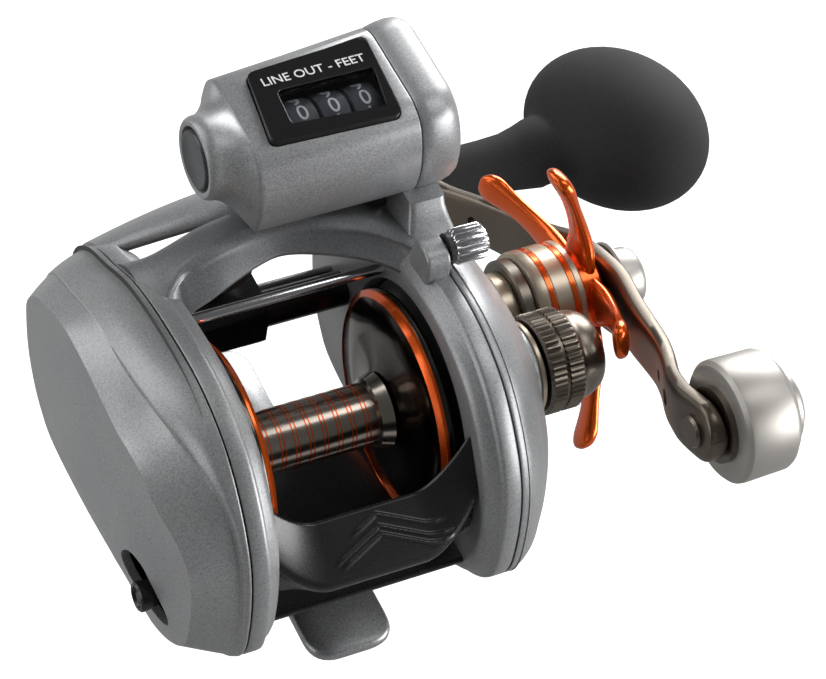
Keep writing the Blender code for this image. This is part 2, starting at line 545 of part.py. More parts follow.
def build_handle():
    """The swept arm, its nut, the knob's spindle and the counterweight at the other end."""
    reaches = [(ARM_REACH + 5.6, 2.2), (ARM_REACH + 4.0, 4.2), (ARM_REACH, 5.6), (50.0, 5.2), (44.0, 4.9),
               (38.0, 4.8), (32.0, 4.9), (26.0, 5.2), (20.0, 5.6), (15.0, 6.2), (10.0, 7.0), (0.0, 7.6)]
    reaches = [(-reach, width) for reach, width in reaches] + reaches[-2::-1]
    stations = [(reach, width, ARM_X + arm_shift(reach)) for reach, width in reaches]
    arm = swept_strip("handle_arm", "bronze", stations, ARM_THICK, arm_point, (0.0, DRIVE_Y, DRIVE_Z))
    bore = DRIVE_SHAFT_R + GAP
    cut(arm, turned("bore", "bronze", [(60, bore), (76, bore)], DRIVE_Y, DRIVE_Z, 24))
    end_x = ARM_X - ARM_BEND
    for reach in (-ARM_REACH, ARM_REACH):
        _, y, z = arm_point(reach, 0, 0)
        cut(arm, turned("bore", "bronze", [(end_x - 5, 2.3), (end_x + 5, 2.3)], y, z, 16))
    nut = turned("handle_nut", "stainless", [(70.1, 5.6), (74.6, 5.6), (75.8, 4.4)], DRIVE_Y, DRIVE_Z, 24)
    cut(nut, turned("bore", "stainless", [(69, bore), (73.8, bore)], DRIVE_Y, DRIVE_Z, 20))
    _, y, z = arm_point(ARM_REACH, 0, 0)
    face = end_x + ARM_THICK / 2
    weight = turned("counterweight", "stainless",
                    [(face + 1.8, 10.4), (face + 2.4, 11.1), (face + 12.2, 10.4), (face + 14.2, 9.0),
                     (face + 15.6, 4.5)], y, z, 28)
    join(weight, turned("pin", "stainless", [(end_x - 2.6, 2.0), (face + 2.5, 2.0)], y, z, 16))
    join(weight, turned("seat", "stainless", [(face + GAP, 4.0), (face + 2.5, 4.0)], y, z, 16))
    _, y, z = arm_point(-ARM_REACH, 0, 0)
    turned("knob_spindle", "stainless", [(end_x - 2.6, 3.2), (end_x - 2.0, 3.4), (end_x - ARM_THICK / 2 - GAP, 3.4),
                                         (end_x - ARM_THICK / 2 - GAP, 2.0), (face + 55.0, 2.0)], y, z, 16)
    build_grip(y, z, face)


def build_grip(y, z, face):
    """The foam paddle: a round neck that swells into a flattened egg, longest along the arm."""
    sides = 28
    neck_r = 5.8
    egg_x, egg_half, egg_long, egg_short = 103.2, 16.7, 24.6, 15.2
    egg_rise = 1.2  # the egg sits this far off the spindle's line, across the arm
    side = Vector((0.0, -ARM_DIRECTION.z, ARM_DIRECTION.y))
    stations = [(face + 0.9, neck_r - 0.6, neck_r - 0.6, 0.0), (face + 2.0, neck_r, neck_r, 0.0)]
    stations += [(80.0, neck_r, neck_r, 0.0), (85.0, 7.4, 6.8, 0.4)]
    for turn in (-62, -45, -25, -5, 15, 35, 55, 72):
        t = math.radians(turn)
        stations.append((egg_x + egg_half * math.sin(t), egg_long * math.cos(t), egg_short * math.cos(t), egg_rise))
    rings = []
    for x, long_r, short_r, rise in stations:
        ring = []
        for k in range(sides):
            t = 2 * math.pi * k / sides
            offset = ARM_DIRECTION * (long_r * math.cos(t)) + side * (short_r * math.sin(t) - rise)
            ring.append((x, y + offset.y, z + offset.z))
        rings.append(ring)
    grip = stack("grip_knob", "foam", rings, (0.0, y, z))
    cut(grip, turned("bore", "foam", [(face - 2, 2.3), (face + 56.5, 2.3)], y, z, 16))


def main():
    clear_scene()
    build_frame()
    build_foot()
    build_rear_deck()
    build_palm_plate()
    build_clicker()
    build_inner_plates()
    build_gear_plate()
    build_drive_hub()
    build_front()
    build_counter()
    build_thumbscrew()
    build_spool()
    build_spool_shaft()
    build_gears()
    build_drag()
    build_yoke()
    build_thumb_bar()
    build_cast_knob()
    build_carriage()
    build_star()
    build_handle()
    for obj in bpy.data.objects:
        obj.data.shade_smooth()
        obj.data.set_sharp_from_angle(angle=math.radians(35))


main()
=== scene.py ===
"""Looks of a low-profile trolling reel with a line counter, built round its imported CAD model.

Sizes are in millimetres from the spool axis: X along the spool towards the handle, Y at the rod tip, Z up.
The file's origin is SPOOL_HEIGHT below that axis, on the underside of the foot.
"""
import json
import math

import bmesh
import bpy
from mathutils import Matrix, Vector


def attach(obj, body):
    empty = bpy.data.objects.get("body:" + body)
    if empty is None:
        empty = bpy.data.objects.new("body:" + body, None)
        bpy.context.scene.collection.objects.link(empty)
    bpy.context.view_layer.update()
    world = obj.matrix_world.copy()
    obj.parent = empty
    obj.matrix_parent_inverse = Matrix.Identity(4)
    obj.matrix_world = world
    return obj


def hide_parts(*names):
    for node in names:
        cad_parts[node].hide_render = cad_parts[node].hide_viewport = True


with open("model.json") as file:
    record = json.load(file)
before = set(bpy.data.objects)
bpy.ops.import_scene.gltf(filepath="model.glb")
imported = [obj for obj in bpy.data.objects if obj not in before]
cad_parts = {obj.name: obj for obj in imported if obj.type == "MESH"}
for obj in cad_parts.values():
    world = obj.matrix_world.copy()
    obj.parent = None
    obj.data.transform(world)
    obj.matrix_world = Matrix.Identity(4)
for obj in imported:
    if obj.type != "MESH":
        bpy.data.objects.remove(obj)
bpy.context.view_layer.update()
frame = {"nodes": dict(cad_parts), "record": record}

MM = 0.001
SPOOL_HEIGHT = 27.0
# The (y, z) centres that turned parts share
SPOOL_AXIS = (0.0, 0.0)
DRIVE_AXIS = DRIVE_Y, DRIVE_Z = 18.3, -7.5
COUNTER_AXIS = COUNTER_Y, COUNTER_Z = 33.5, 38.8
SCREW_AXIS = (7.6, 30.3)
CLICK_AXIS = (-17.7, -7.9)
GUIDE_AXIS = (16.0, 18.6)
ARM_DIRECTION = Vector((0.0, -0.907, 0.421)).normalized()
ARM_SIDE = Vector((0.0, -ARM_DIRECTION.z, ARM_DIRECTION.y))
ARM_REACH, ARM_X, ARM_THICK, ARM_BEND = 57.0, 68.0, 3.4, 11.0
BEND = [(0, 0.0), (10, 0.3), (20, 2.4), (32, 4.8), (38, 6.8), (44, 9.3), (50, 10.8), (52, 11.0), (57, 11.0)]

BODY_CENTRE = (4.0, 1.0)
UPPER_OUTLINE = [(45, 3), (44.2, 9), (39.5, 14.5), (32, 18.5), (23, 23.2), (11, 26.3), (-4, 27.6),
                 (-16, 24.4), (-25, 17), (-30.5, 8), (-32.5, -4), (-31, -14)]
BODY_OUTLINE = UPPER_OUTLINE + [(-22, -22), (-10, -24.2), (26, -24.2), (37, -19.5), (43, -9)]
GEAR_OUTLINE = UPPER_OUTLINE + [(-22, -21.5), (-8, -23), (6, -25), (18, -26), (30, -24.5), (38, -18),
                                (43, -8)]
COUNTER_OUTLINE = [(22.9, 28.4), (21.6, 31.6), (21.1, 36.0), (21.8, 40.6), (23.8, 44.8), (27.2, 46.7),
                   (45.4, 46.6), (49.0, 44.2), (50.4, 37.0), (48.2, 28.9)]
COUNTER_HEEL = (22.6, 28.9)
WALL = 1.5
SHARP_ANGLE = 35.0


# ---------- materials ----------

def node_material(name):
    made = bpy.data.materials.new(name)
    made.use_nodes = True
    tree = made.node_tree
    return made, tree, tree.nodes["Principled BSDF"]


def add_node(tree, kind, values):
    """A new node with some of its inputs set."""
    node = tree.nodes.new(kind)
    set_inputs(node, values)
    return node


def set_inputs(node, values):
    for key, value in values.items():
        node.inputs[key].default_value = value


def coordinates(tree, stretch=(1.0, 1.0, 1.0)):
    """Object coordinates in millimetres, optionally stretched for brushed or turned grain."""
    source = tree.nodes.new("ShaderNodeTexCoord")
    scaled = add_node(tree, "ShaderNodeMapping", {"Scale": [1000.0 * s for s in stretch]})
    tree.links.new(source.outputs["Object"], scaled.inputs["Vector"])
    return scaled.outputs["Vector"]


def noise(tree, vector, scale, detail=2.0, roughness=0.5):
    made = add_node(tree, "ShaderNodeTexNoise", {"Scale": scale, "Detail": detail, "Roughness": roughness})
    tree.links.new(vector, made.inputs["Vector"])
    return made.outputs["Fac"]


def remap(tree, value, low, high):
    """The middle of a noise spread over the range from low to high."""
    made = add_node(tree, "ShaderNodeMapRange",
                    {"From Min": 0.3, "From Max": 0.7, "To Min": low, "To Max": high})
    tree.links.new(value, made.inputs["Value"])
    return made.outputs["Result"]


def ramp(tree, value, stops):
    made = tree.nodes.new("ShaderNodeValToRGB")
    elements = made.color_ramp.elements
    while len(elements) < len(stops):
        elements.new(0.5)
    for element, (at, color) in zip(elements, stops):
        element.position = at
        element.color = (*color, 1.0)
    tree.links.new(value, made.inputs["Fac"])
    return made.outputs["Color"]


def bump(tree, shader, height, strength, distance):
    made = add_node(tree, "ShaderNodeBump", {"Strength": strength, "Distance": distance * MM})
    tree.links.new(height, made.inputs["Height"])
    tree.links.new(made.outputs["Normal"], shader.inputs["Normal"])


def shade(color, factor):
    return tuple(min(1.0, c * factor) for c in color)


def finish(name, color, metallic, roughness, spread=0.05, fleck=0.12, fleck_scale=2.2,
           grain=(1.0, 1.0, 1.0), relief=(0.12, 0.02), coat=(0.0, 0.1), specular=0.5):
    """A paint, metal or plastic: colour flecks over slow patches, drifting roughness and a fine relief."""
    made, tree, shader = node_material(name)
    vector = coordinates(tree, grain)
    fine = noise(tree, vector, fleck_scale, 3.0, 0.6)
    slow = noise(tree, coordinates(tree), 0.06, 3.0)
    stops = [(0.28, shade(color, 1 - fleck)), (0.5, color), (0.74, shade(color, 1 + fleck))]
    flecked = ramp(tree, fine, stops)
    mixed = add_node(tree, "ShaderNodeMix", {"Factor": 1.0})
    mixed.data_type = "RGBA"
    mixed.blend_type = "MULTIPLY"
    tree.links.new(flecked, mixed.inputs["A"])
    tree.links.new(ramp(tree, slow, [(0.3, (0.93, 0.93, 0.94)), (0.7, (1.0, 1.0, 1.0))]), mixed.inputs["B"])
    tree.links.new(mixed.outputs["Result"], shader.inputs["Base Color"])
    rough = tree.nodes.new("ShaderNodeMath")
    rough.operation = "ADD"
    tree.links.new(remap(tree, fine, roughness - spread, roughness + spread), rough.inputs[0])
    tree.links.new(remap(tree, slow, -spread * 0.5, spread * 0.5), rough.inputs[1])
    tree.links.new(rough.outputs["Value"], shader.inputs["Roughness"])
    set_inputs(shader, {"Metallic": metallic, "Specular IOR Level": specular, "Coat Weight": coat[0],
                        "Coat Roughness": coat[1]})
    bump(tree, shader, fine, *relief)
    return made


def glass(name):
    """The clear cover over the counter's wheels, slightly smoked, with faint haze."""
    made, tree, shader = node_material(name)
    haze = noise(tree, coordinates(tree), 0.8, 3.0)
    tree.links.new(ramp(tree, haze, [(0.3, (0.80, 0.82, 0.85)), (0.7, (0.88, 0.89, 0.91))]),
                   shader.inputs["Base Color"])
    tree.links.new(remap(tree, haze, 0.02, 0.07), shader.inputs["Roughness"])
    set_inputs(shader, {"Transmission Weight": 1.0, "IOR": 1.2})
    bump(tree, shader, haze, 0.02, 0.01)
    return made


PAINT = dict(fleck=0.30, fleck_scale=3.2, relief=(0.16, 0.03), coat=(0.1, 0.25))
FINISHES = {  # colour, metallic, roughness and what else sets a finish apart
    "silver_paint": ((0.35, 0.355, 0.36), 0.5, 0.42, PAINT),
    # The arch's paint is the silver paint darkened: painted shade on the arch under the counter.
    "arch_painted_shade": ((0.21, 0.215, 0.22), 0.5, 0.42, PAINT),
    "graphite_paint": ((0.105, 0.11, 0.115), 0.6, 0.36,
        dict(fleck=0.35, fleck_scale=3.0, relief=(0.14, 0.03))),
    # The foot's paint is the graphite paint made much lighter: painted light on the foot.
    "foot_painted_light": ((0.36, 0.365, 0.37), 0.7, 0.36,
        dict(fleck=0.35, fleck_scale=3.0, relief=(0.12, 0.03))),
    "black_plastic": ((0.018, 0.018, 0.019), 0.0, 0.42,
        dict(fleck=0.10, fleck_scale=5.0, relief=(0.10, 0.03))),
    "satin_black": ((0.012, 0.012, 0.0125), 0.0, 0.28,
        dict(fleck=0.10, fleck_scale=5.0, relief=(0.06, 0.03))),
    "dark_gloss": ((0.035, 0.032, 0.03), 0.4, 0.14, dict(relief=(0.03, 0.01))),
    "dark_chrome": ((0.085, 0.075, 0.065), 1.0, 0.16,
        dict(spread=0.02, grain=(1.0, 0.35, 0.35), relief=(0.02, 0.01))),
    "gunmetal": ((0.50, 0.45, 0.385), 1.0, 0.2,
        dict(spread=0.04, fleck=0.08, grain=(4.0, 0.25, 0.25), relief=(0.06, 0.01))),
    "orange_anodised": ((0.90, 0.125, 0.008), 0.72, 0.2,
        dict(spread=0.03, fleck=0.03, fleck_scale=4.0, relief=(0.02, 0.005), coat=(0.3, 0.1))),
    "bronze": ((0.54, 0.455, 0.35), 0.75, 0.32,
        dict(spread=0.04, fleck=0.05, grain=(5.0, 0.3, 0.3), relief=(0.03, 0.005))),
    "bronze_arm": ((0.15, 0.125, 0.10), 0.9, 0.33,
        dict(fleck=0.14, fleck_scale=4.0, relief=(0.08, 0.02))),
    "black_nickel": ((0.19, 0.165, 0.135), 1.0, 0.32,
        dict(spread=0.04, fleck=0.1, grain=(5.0, 0.3, 0.3), relief=(0.06, 0.01))),
    "stainless": ((0.43, 0.41, 0.38), 0.7, 0.42,
        dict(spread=0.04, fleck=0.05, grain=(6.0, 0.3, 0.3), relief=(0.04, 0.005))),
    "satin_steel": ((0.42, 0.42, 0.42), 1.0, 0.34,
        dict(fleck=0.08, grain=(0.4, 5.0, 5.0), relief=(0.08, 0.01))),
    "chrome": ((0.80, 0.80, 0.81), 1.0, 0.2, dict(spread=0.02, fleck=0.03, relief=(0.02, 0.005))),
    "brass": ((0.68, 0.50, 0.22), 1.0, 0.3, dict(grain=(3.0, 1.0, 1.0))),
    "foam": ((0.022, 0.022, 0.023), 0.0, 0.82,
        dict(spread=0.06, fleck=0.35, fleck_scale=2.6, relief=(0.45, 0.08), specular=0.3)),
    "lens": ((0.012, 0.012, 0.013), 0.0, 0.10, dict(spread=0.02, fleck=0.05, relief=(0.02, 0.01))),
    "fibre": ((0.08, 0.07, 0.06), 0.0, 0.8, dict(fleck=0.3)),
    "wheel_plastic": ((0.085, 0.088, 0.098), 0.0, 0.5, {}),
    "digit_white": ((0.82, 0.83, 0.82), 0.0, 0.5, dict(fleck=0.05)),
}
MATERIALS = {name: finish(name, *look, **more) for name, (*look, more) in FINISHES.items()}
MATERIALS["glass"] = glass("glass")


# ---------- mesh tools ----------

def add_object(name, data):
    obj = bpy.data.objects.new(name, data)
    bpy.context.scene.collection.objects.link(obj)
    return obj


def world_point(point):
    return (point[0] * MM, point[1] * MM, (point[2] + SPOOL_HEIGHT) * MM)


def piece(name, shape, finish_name, body="frame", slot=None, replaces=(), sharp=SHARP_ANGLE, bevel=0.0):
    """A mesh from points in millimetres, riding on a CAD body. Its slot argument is not used."""
    points, faces = shape
    slot = slot or finish_name
    mesh = bpy.data.meshes.new(name)
    mesh.from_pydata([world_point(p) for p in points], [], faces)
    work = bmesh.new()
    work.from_mesh(mesh)
    bmesh.ops.remove_doubles(work, verts=work.verts, dist=1e-7)
    bmesh.ops.recalc_face_normals(work, faces=work.faces)
    work.to_mesh(mesh)
    work.free()
    mesh.shade_smooth()
    mesh.set_sharp_from_angle(angle=math.radians(sharp))
    mesh.materials.append(MATERIALS[finish_name])
    obj = add_object(name, mesh)
    if bevel:
        soften(obj, bevel)
    if body:
        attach(obj, body)
    if replaces:
        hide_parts(*replaces)
    return obj


def soften(obj, width, segments=3, angle=30.0):
    edge = obj.modifiers.new("edges", "BEVEL")
    edge.width = width * MM
    edge.segments = segments
    edge.limit_method = "ANGLE"
    edge.angle_limit = math.radians(angle)
    edge.harden_normals = True


def skin(rings, closed=False, caps=(True, True)):
    """Points and faces of a surface through equal rings; closed joins the last ring to the first."""
    count = len(rings[0])
    points = [p for ring in rings for p in ring]
    faces = []
    spans = len(rings) if closed else len(rings) - 1
    for i in range(spans):
        a, b = i * count, ((i + 1) % len(rings)) * count
        for k in range(count):
            n = (k + 1) % count
            faces.append((a + k, a + n, b + n, b + k))
    if not closed and caps[0]:
        faces.append(tuple(range(count))[::-1])
    if not closed and caps[1]:
        faces.append(tuple(range(len(points) - count, len(points))))
    return points, faces


def prism(outline, x0, x1):
    """A straight bar along X with the same (y, z) outline at both ends."""
    return skin([[(x, y, z) for y, z in outline] for x in (x0, x1)])


def turns(count):
    """Even angles round a full turn."""
    return [2 * math.pi * k / count for k in range(count)]


def bulge(value, power):
    """A cosine or sine raised to a power with its sign kept, which squares off a section."""
    return math.copysign(abs(value) ** power, value)


def circle(x, radius, y, z, sides, flutes=0, depth=0.0):
    ring = []
    for t in turns(sides):
        r = radius + depth * math.cos(flutes * t)
        ring.append((x, y + r * math.cos(t), z + r * math.sin(t)))
    return ring


def turned(name, profile, centre, finish_name, body="frame", slot=None, sides=64, bore=None, replaces=(),
           sharp=SHARP_ANGLE):
    """Revolve (x, radius) or (x, radius, flutes, depth) points round an axis parallel to X."""
    rings = []
    for entry in profile:
        x, radius = entry[:2]
        flutes, depth = entry[2:] if len(entry) > 2 else (0, 0.0)
        rings.append(circle(x, radius, *centre, sides, flutes, depth))
    if bore:
        rings += [circle(x, bore, *centre, sides) for x in (profile[-1][0], profile[0][0])]
    return piece(name, skin(rings, closed=bool(bore)), finish_name, body, slot, replaces, sharp)


def spline(a, b, c, d, steps):
    """Points from b towards c on the Catmull-Rom curve with the neighbours a and d."""
    out = []
    for j in range(steps):
        t = j / steps
        out.append(tuple(0.5 * (2 * b + (c - a) * t + (2 * a - 5 * b + 4 * c - d) * t ** 2
                                + (3 * b - a - 3 * c + d) * t ** 3)))
    return out


def smooth_loop(points, steps):
    """A closed curve through the points."""
    out = []
    for i in range(len(points)):
        near = [Vector(points[(i + k) % len(points)]) for k in (-1, 0, 1, 2)]
        out += spline(*near, steps)
    return out


def smooth_line(points, steps):
    """An open curve through the points."""
    padded = [points[0], *points, points[-1]]
    out = []
    for i in range(len(points) - 1):
        near = [Vector(p) for p in padded[i:i + 4]]
        out += spline(*near, steps)
    out.append(tuple(points[-1]))
    return out


def rounded(outline, radius, steps=5):
    """A polygon with its corners rounded by arcs of the given radius, or less where a side is short."""
    out = []
    count = len(outline)
    for i in range(count):
        before, corner, after = (Vector(outline[(i + k) % count]) for k in (-1, 0, 1))
        into, away = before - corner, after - corner
        reach = min(radius, 0.45 * into.length, 0.45 * away.length)
        start, end = corner + into.normalized() * reach, corner + away.normalized() * reach
        for j in range(steps + 1):
            t = j / steps
            out.append(tuple((1 - t) ** 2 * start + 2 * t * (1 - t) * corner + t ** 2 * end))
    return out


def blend_at(table, value):
    """Values read between the rows of a table of (key, a, b, ...), on smooth curves through the rows."""
    if value <= table[0][0]:
        return table[0][1:]
    if value >= table[-1][0]:
        return table[-1][1:]
    i = next(k for k, row in enumerate(table) if value <= row[0]) - 1
    low, high = Vector(table[i]), Vector(table[i + 1])
    before, after = Vector(table[max(i - 1, 0)]), Vector(table[min(i + 2, len(table) - 1)])
    span = high[0] - low[0]
    t = (value - low[0]) / span
    leave = (high - before) * (span / (high[0] - before[0]))
    arrive = (after - low) * (span / (after[0] - low[0]))
    mixed = (low * (2 * t ** 3 - 3 * t ** 2 + 1) + leave * (t ** 3 - 2 * t ** 2 + t)
             + high * (3 * t ** 2 - 2 * t ** 3) + arrive * (t ** 3 - t ** 2))
    return tuple(mixed)[1:]


def scaled_ring(outline, x, scale, centre):
    cy, cz = centre
    return [(x, cy + scale * (y - cy), cz + scale * (z - cz)) for y, z in outline]


def block(low, high):
    (x0, y0, z0), (x1, y1, z1) = low, high
    return prism([(y0, z0), (y1, z0), (y1, z1), (y0, z1)], x0, x1)


def cut(target, shape):
    """Boolean a solid out of the target, keep the result and drop the solid."""
    tool = piece("cutter", shape, "silver_paint", None)
    modifier = target.modifiers.new("cut", "BOOLEAN")
    modifier.operation = "DIFFERENCE"
    modifier.object = tool
    modifier.solver = "EXACT"
    bpy.context.view_layer.update()
    graph = bpy.context.evaluated_depsgraph_get()
    result = bpy.data.meshes.new_from_object(target.evaluated_get(graph))
    target.modifiers.clear()
    old = target.data
    target.data = result
    bpy.data.meshes.remove(old)
    bpy.data.objects.remove(tool)
    result.shade_smooth()
    result.set_sharp_from_angle(angle=math.radians(SHARP_ANGLE))


def thicken(cover):
    """Give an open cover a moulded wall, inwards."""
    shell = cover.modifiers.new("wall", "SOLIDIFY")
    shell.thickness = WALL * MM
    shell.offset = -1.0
    return shell


def arm_point(reach, across, x):
    return tuple(Vector((x, *DRIVE_AXIS)) + ARM_DIRECTION * reach + ARM_SIDE * across)


def arm_shift(reach):
    """How far the swept arm has come inwards at this reach."""
    return -blend_at(BEND, abs(reach))[0]


# ---------- frame and side plates ----------

HOLE_RADIUS = 22.3
RING_PROFILE = [(24.95, 0.985), (25.0, 0.994), (24.7, 1.0), (22.5, 1.0), (22.0, 0.998), (21.8, 0.99),
                (21.6, 0.977), (21.4, 0.973), (20.2, 0.953), (19.3, 0.93), (19.0, 0.91)]


def build_ring(side):
    """One side ring: its outer wall, a bright chamfer towards the spool and the round hole."""
    outline = smooth_loop(BODY_OUTLINE, 8)
    rings = [scaled_ring(outline, side * x, s, BODY_CENTRE) for x, s in RING_PROFILE]
    hole = []
    for y, z in outline:
        reach = math.hypot(y, z)
        hole.append((y * HOLE_RADIUS / reach, z * HOLE_RADIUS / reach))
    for x, s in ((19.0, 1.012), (19.4, 1.0), (24.95, 1.0)):
        rings.append([(side * x, y * s, z * s) for y, z in hole])
    name = "frame_ring_left" if side < 0 else "frame_ring_right"
    piece(name, skin(rings, closed=True), "silver_paint", replaces=("frame",) if side < 0 else (),
          sharp=50)


ARCH_TABLE = [  # x, then y and z of the lower rim, the upper rim, the crest and the front edge
    (-24.8, 12.0, 22.6, 14.0, 24.1, 21.0, 23.2, 31.8, 18.0),
    (-22.2, 13.2, 21.8, 16.2, 24.4, 21.5, 24.3, 30.8, 18.9),
    (-20.4, 14.2, 21.2, 18.2, 24.6, 22.2, 24.9, 30.4, 19.3),
    (-17.6, 14.9, 22.6, 20.4, 25.2, 23.2, 25.8, 30.6, 19.5),
    (-14.0, 15.6, 23.6, 20.8, 25.8, 23.8, 26.8, 31.6, 19.7),
    (-10.5, 16.8, 24.2, 21.4, 26.4, 24.4, 27.4, 32.6, 19.9),
    (-4.0, 19.3, 24.3, 22.4, 26.6, 25.2, 27.8, 33.6, 20.1),
    (0.8, 20.2, 24.3, 22.4, 26.5, 25.2, 27.8, 34.2, 20.2),
    (6.3, 18.7, 24.3, 21.6, 26.4, 24.8, 27.8, 34.2, 20.2),
    (13.8, 15.0, 24.2, 19.0, 26.2, 23.6, 27.2, 33.2, 19.9),
    (17.0, 12.6, 24.0, 17.2, 26.1, 22.6, 26.8, 32.4, 19.5),
    (19.1, 10.2, 23.8, 15.6, 26.0, 21.8, 26.2, 31.8, 19.1),
    (21.4, 6.4, 23.6, 13.4, 25.9, 20.8, 25.6, 31.6, 18.8),
    (24.8, 2.0, 23.4, 9.0, 25.6, 20.0, 24.6, 32.0, 18.0),
]


def build_arch():
    """The bridge over the spool. Its rear edge is a sloping rim that arches up in the middle."""
    rings = []
    half_span, steps = 24.8, 96
    for i in range(steps + 1):
        x = -half_span + 2 * half_span * i / steps
        ly, lz, uy, uz, cy, cz, fy, fz = blend_at(ARCH_TABLE, x)
        top = smooth_line([(uy, uz), (uy + 0.4, uz + 0.5), ((uy + cy) / 2, (uz + cz) / 2 + 0.5), (cy, cz),
                           ((cy + fy) / 2 + 1.2, (cz + fz) / 2 + 1.6), (fy, fz + 0.6)], 4)
        ring = [(ly + 0.3, lz - 0.9), (ly, lz - 0.3), (ly + 0.1, lz), (ly + 0.4, lz + 0.15),
                (uy - 0.3, uz - 0.35)] + top
        ring += [(fy + 0.35, fz), (fy, fz - 1.2), (fy - 1.6, fz - 2.4)]
        ring += [((fy + ly) / 2 + 1.0, (fz + lz) / 2 - 2.4), (ly + 2.6, lz - 2.4)]
        rings.append([(x, y, z) for y, z in ring])
    # A darker copy of the silver paint: painted shade under the counter.
    piece("frame_arch", skin(rings), "arch_painted_shade", slot="silver_paint", sharp=32)


def build_frame_details():
    """The deck under the spool, the front bar, the lug of the thumbscrew and the counter's pedestal."""
    piece("frame_deck", block((-20, -13, -24.3), (20, 20, -21.9)), "graphite_paint", slot="silver_paint",
          bevel=0.5)
    ring = rounded([(38, -18), (41, -18), (41, -12.5), (38, -12.5)], 1.2)
    piece("frame_front_bar", prism(ring, -20, 20), "silver_paint", bevel=0.3)
    ring = rounded([(3.9, 24), (11.4, 24), (10.9, 32.2), (4.5, 32.2)], 3.2)
    piece("thumbscrew_lug", prism(ring, 20.5, 25), "silver_paint", bevel=0.6)
    # The pedestal wears graphite paint instead of the frame's silver paint: painted shade under the
    # counter.
    rings = []
    for z, grow in ((24.5, 1.2), (26.6, 0.8), (28.0, 0.4), (29.4, 0.0)):
        ring = rounded([(-3.4 - grow, 26.2 - grow), (23.0 + grow, 25.6 - grow), (23.5 + grow, 32 + grow),
                        (-3.4 - grow, 33 + grow)], 3.0)
        rings.append([(x, y, z) for x, y in ring])
    piece("counter_pedestal", skin(rings), "graphite_paint", slot="silver_paint", sharp=50)


PALM_RIDGES = [  # degrees round the plate from the front, then x and scale of the fold and of the ridge
    (-40, -31.0, 0.965, -37.0, 0.84), (0, -33.0, 0.935, -38.3, 0.83), (35, -34.0, 0.905, -38.6, 0.85),
    (60, -34.2, 0.895, -38.7, 0.77), (92, -33.8, 0.888, -38.7, 0.68), (112, -32.6, 0.9, -38.7, 0.68),
    (128, -30.6, 0.915, -38.4, 0.755), (140, -29.0, 0.95, -38.1, 0.80), (148, -28.0, 0.965, -37.4, 0.85),
    (156, -27.3, 0.965, -36.3, 0.905), (166, -27.0, 0.967, -35.4, 0.925), (180, -27.0, 0.97, -34.9, 0.905),
    (205, -27.0, 0.985, -34.7, 0.88), (240, -27.4, 0.985, -35.2, 0.865), (280, -29.0, 0.975, -36.2, 0.85),
    (320, -31.0, 0.965, -37.0, 0.84), (360, -33.0, 0.935, -38.3, 0.83), (395, -34.0, 0.905, -38.6, 0.85)]
FOLD_STEP = [(0, 0.0), (55, 0.0), (75, 0.35), (100, 0.6), (118, 0.5), (135, 0.1), (150, 0.0), (360, 0.0)]


def palm_profile(turn):
    """The (x, scale) profile of the palm cover in one direction, from its rim over the fold and ridge."""
    fold_x, fold, ridge_x, ridge = blend_at(PALM_RIDGES, turn)
    step = blend_at(FOLD_STEP, turn)[0]
    swell = 0.014 * max(0.0, 1.0 - abs(turn - 100) / 110)
    rim = [(-25.3, 0.992), (-25.5, 1.0), (-25.9, 1.0),
           (fold_x * 0.55 - 11.5, 1.0 * 0.55 + fold * 0.45 + swell), (fold_x + 0.5, fold + 0.01),
           (fold_x, fold)]
    inner = [(fold_x - step, fold - 0.002),
             (fold_x * 0.55 + ridge_x * 0.45 - 0.35, fold * 0.5 + ridge * 0.5), (ridge_x, ridge)]
    face = [(ridge_x, ridge), (ridge_x * 0.7 - 12.0 + 0.25, ridge * 0.84), (-39.4, ridge * 0.5),
            (-39.9, 0.22), (-40.0, 0.02)]
    return smooth_line(rim, 4) + smooth_line(inner, 6) + smooth_line(face, 4)[1:]


def build_palm_plate():
    """The palm-side cover. A fold and a ridge run round its dome and close up towards the rear."""
    outline = smooth_loop(BODY_OUTLINE, 9)
    cy, cz = BODY_CENTRE
    columns = []
    for y, z in outline:
        turn = math.degrees(math.atan2(z - cz, y - cy)) % 360
        columns.append([(x, cy + s * (y - cy), cz + s * (z - cz)) for x, s in palm_profile(turn)])
    rings = [[column[i] for column in columns] for i in range(len(columns[0]))]
    plate = piece("palm_side_plate_shell", skin(rings, caps=(False, True)), "silver_paint", None,
                  sharp=50)
    shell = thicken(plate)
    # The inner wall is black plastic instead of the silver paint: painted shade inside the cover.
    plate.data.materials.append(MATERIALS["black_plastic"])
    shell.material_offset = 1
    shell.material_offset_rim = 0
    slot_ring = rounded([(-9.9, -4.5), (-12.4, -0.8), (-16.0, -0.9), (-20.2, -5.2), (-22.8, -8.2),
                         (-23.2, -11.0), (-20.4, -13.2), (-16.0, -12.2), (-12.6, -8.8)], 2.4)
    cut(plate, prism(slot_ring, -46, -24))
    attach(plate, "frame")
    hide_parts("palm_side_plate")


def build_clicker():
    """The sliding click button: a dished black knob on its stem."""
    profile = [(-28.4, 1.0), (-36.4, 1.0), (-36.6, 2.4), (-38.6, 2.75), (-39.3, 2.7), (-39.6, 2.4),
               (-39.6, 2.0), (-39.0, 1.7), (-38.9, 1.1), (-39.3, 0.9), (-39.3, 0.3)]
    turned("clicker_button", profile, CLICK_AXIS, "satin_black", "clicker", slot="black_plastic",
           sides=48, replaces=("clicker_knob",), sharp=40)


GEAR_CENTRE = (18.0, -22.0)


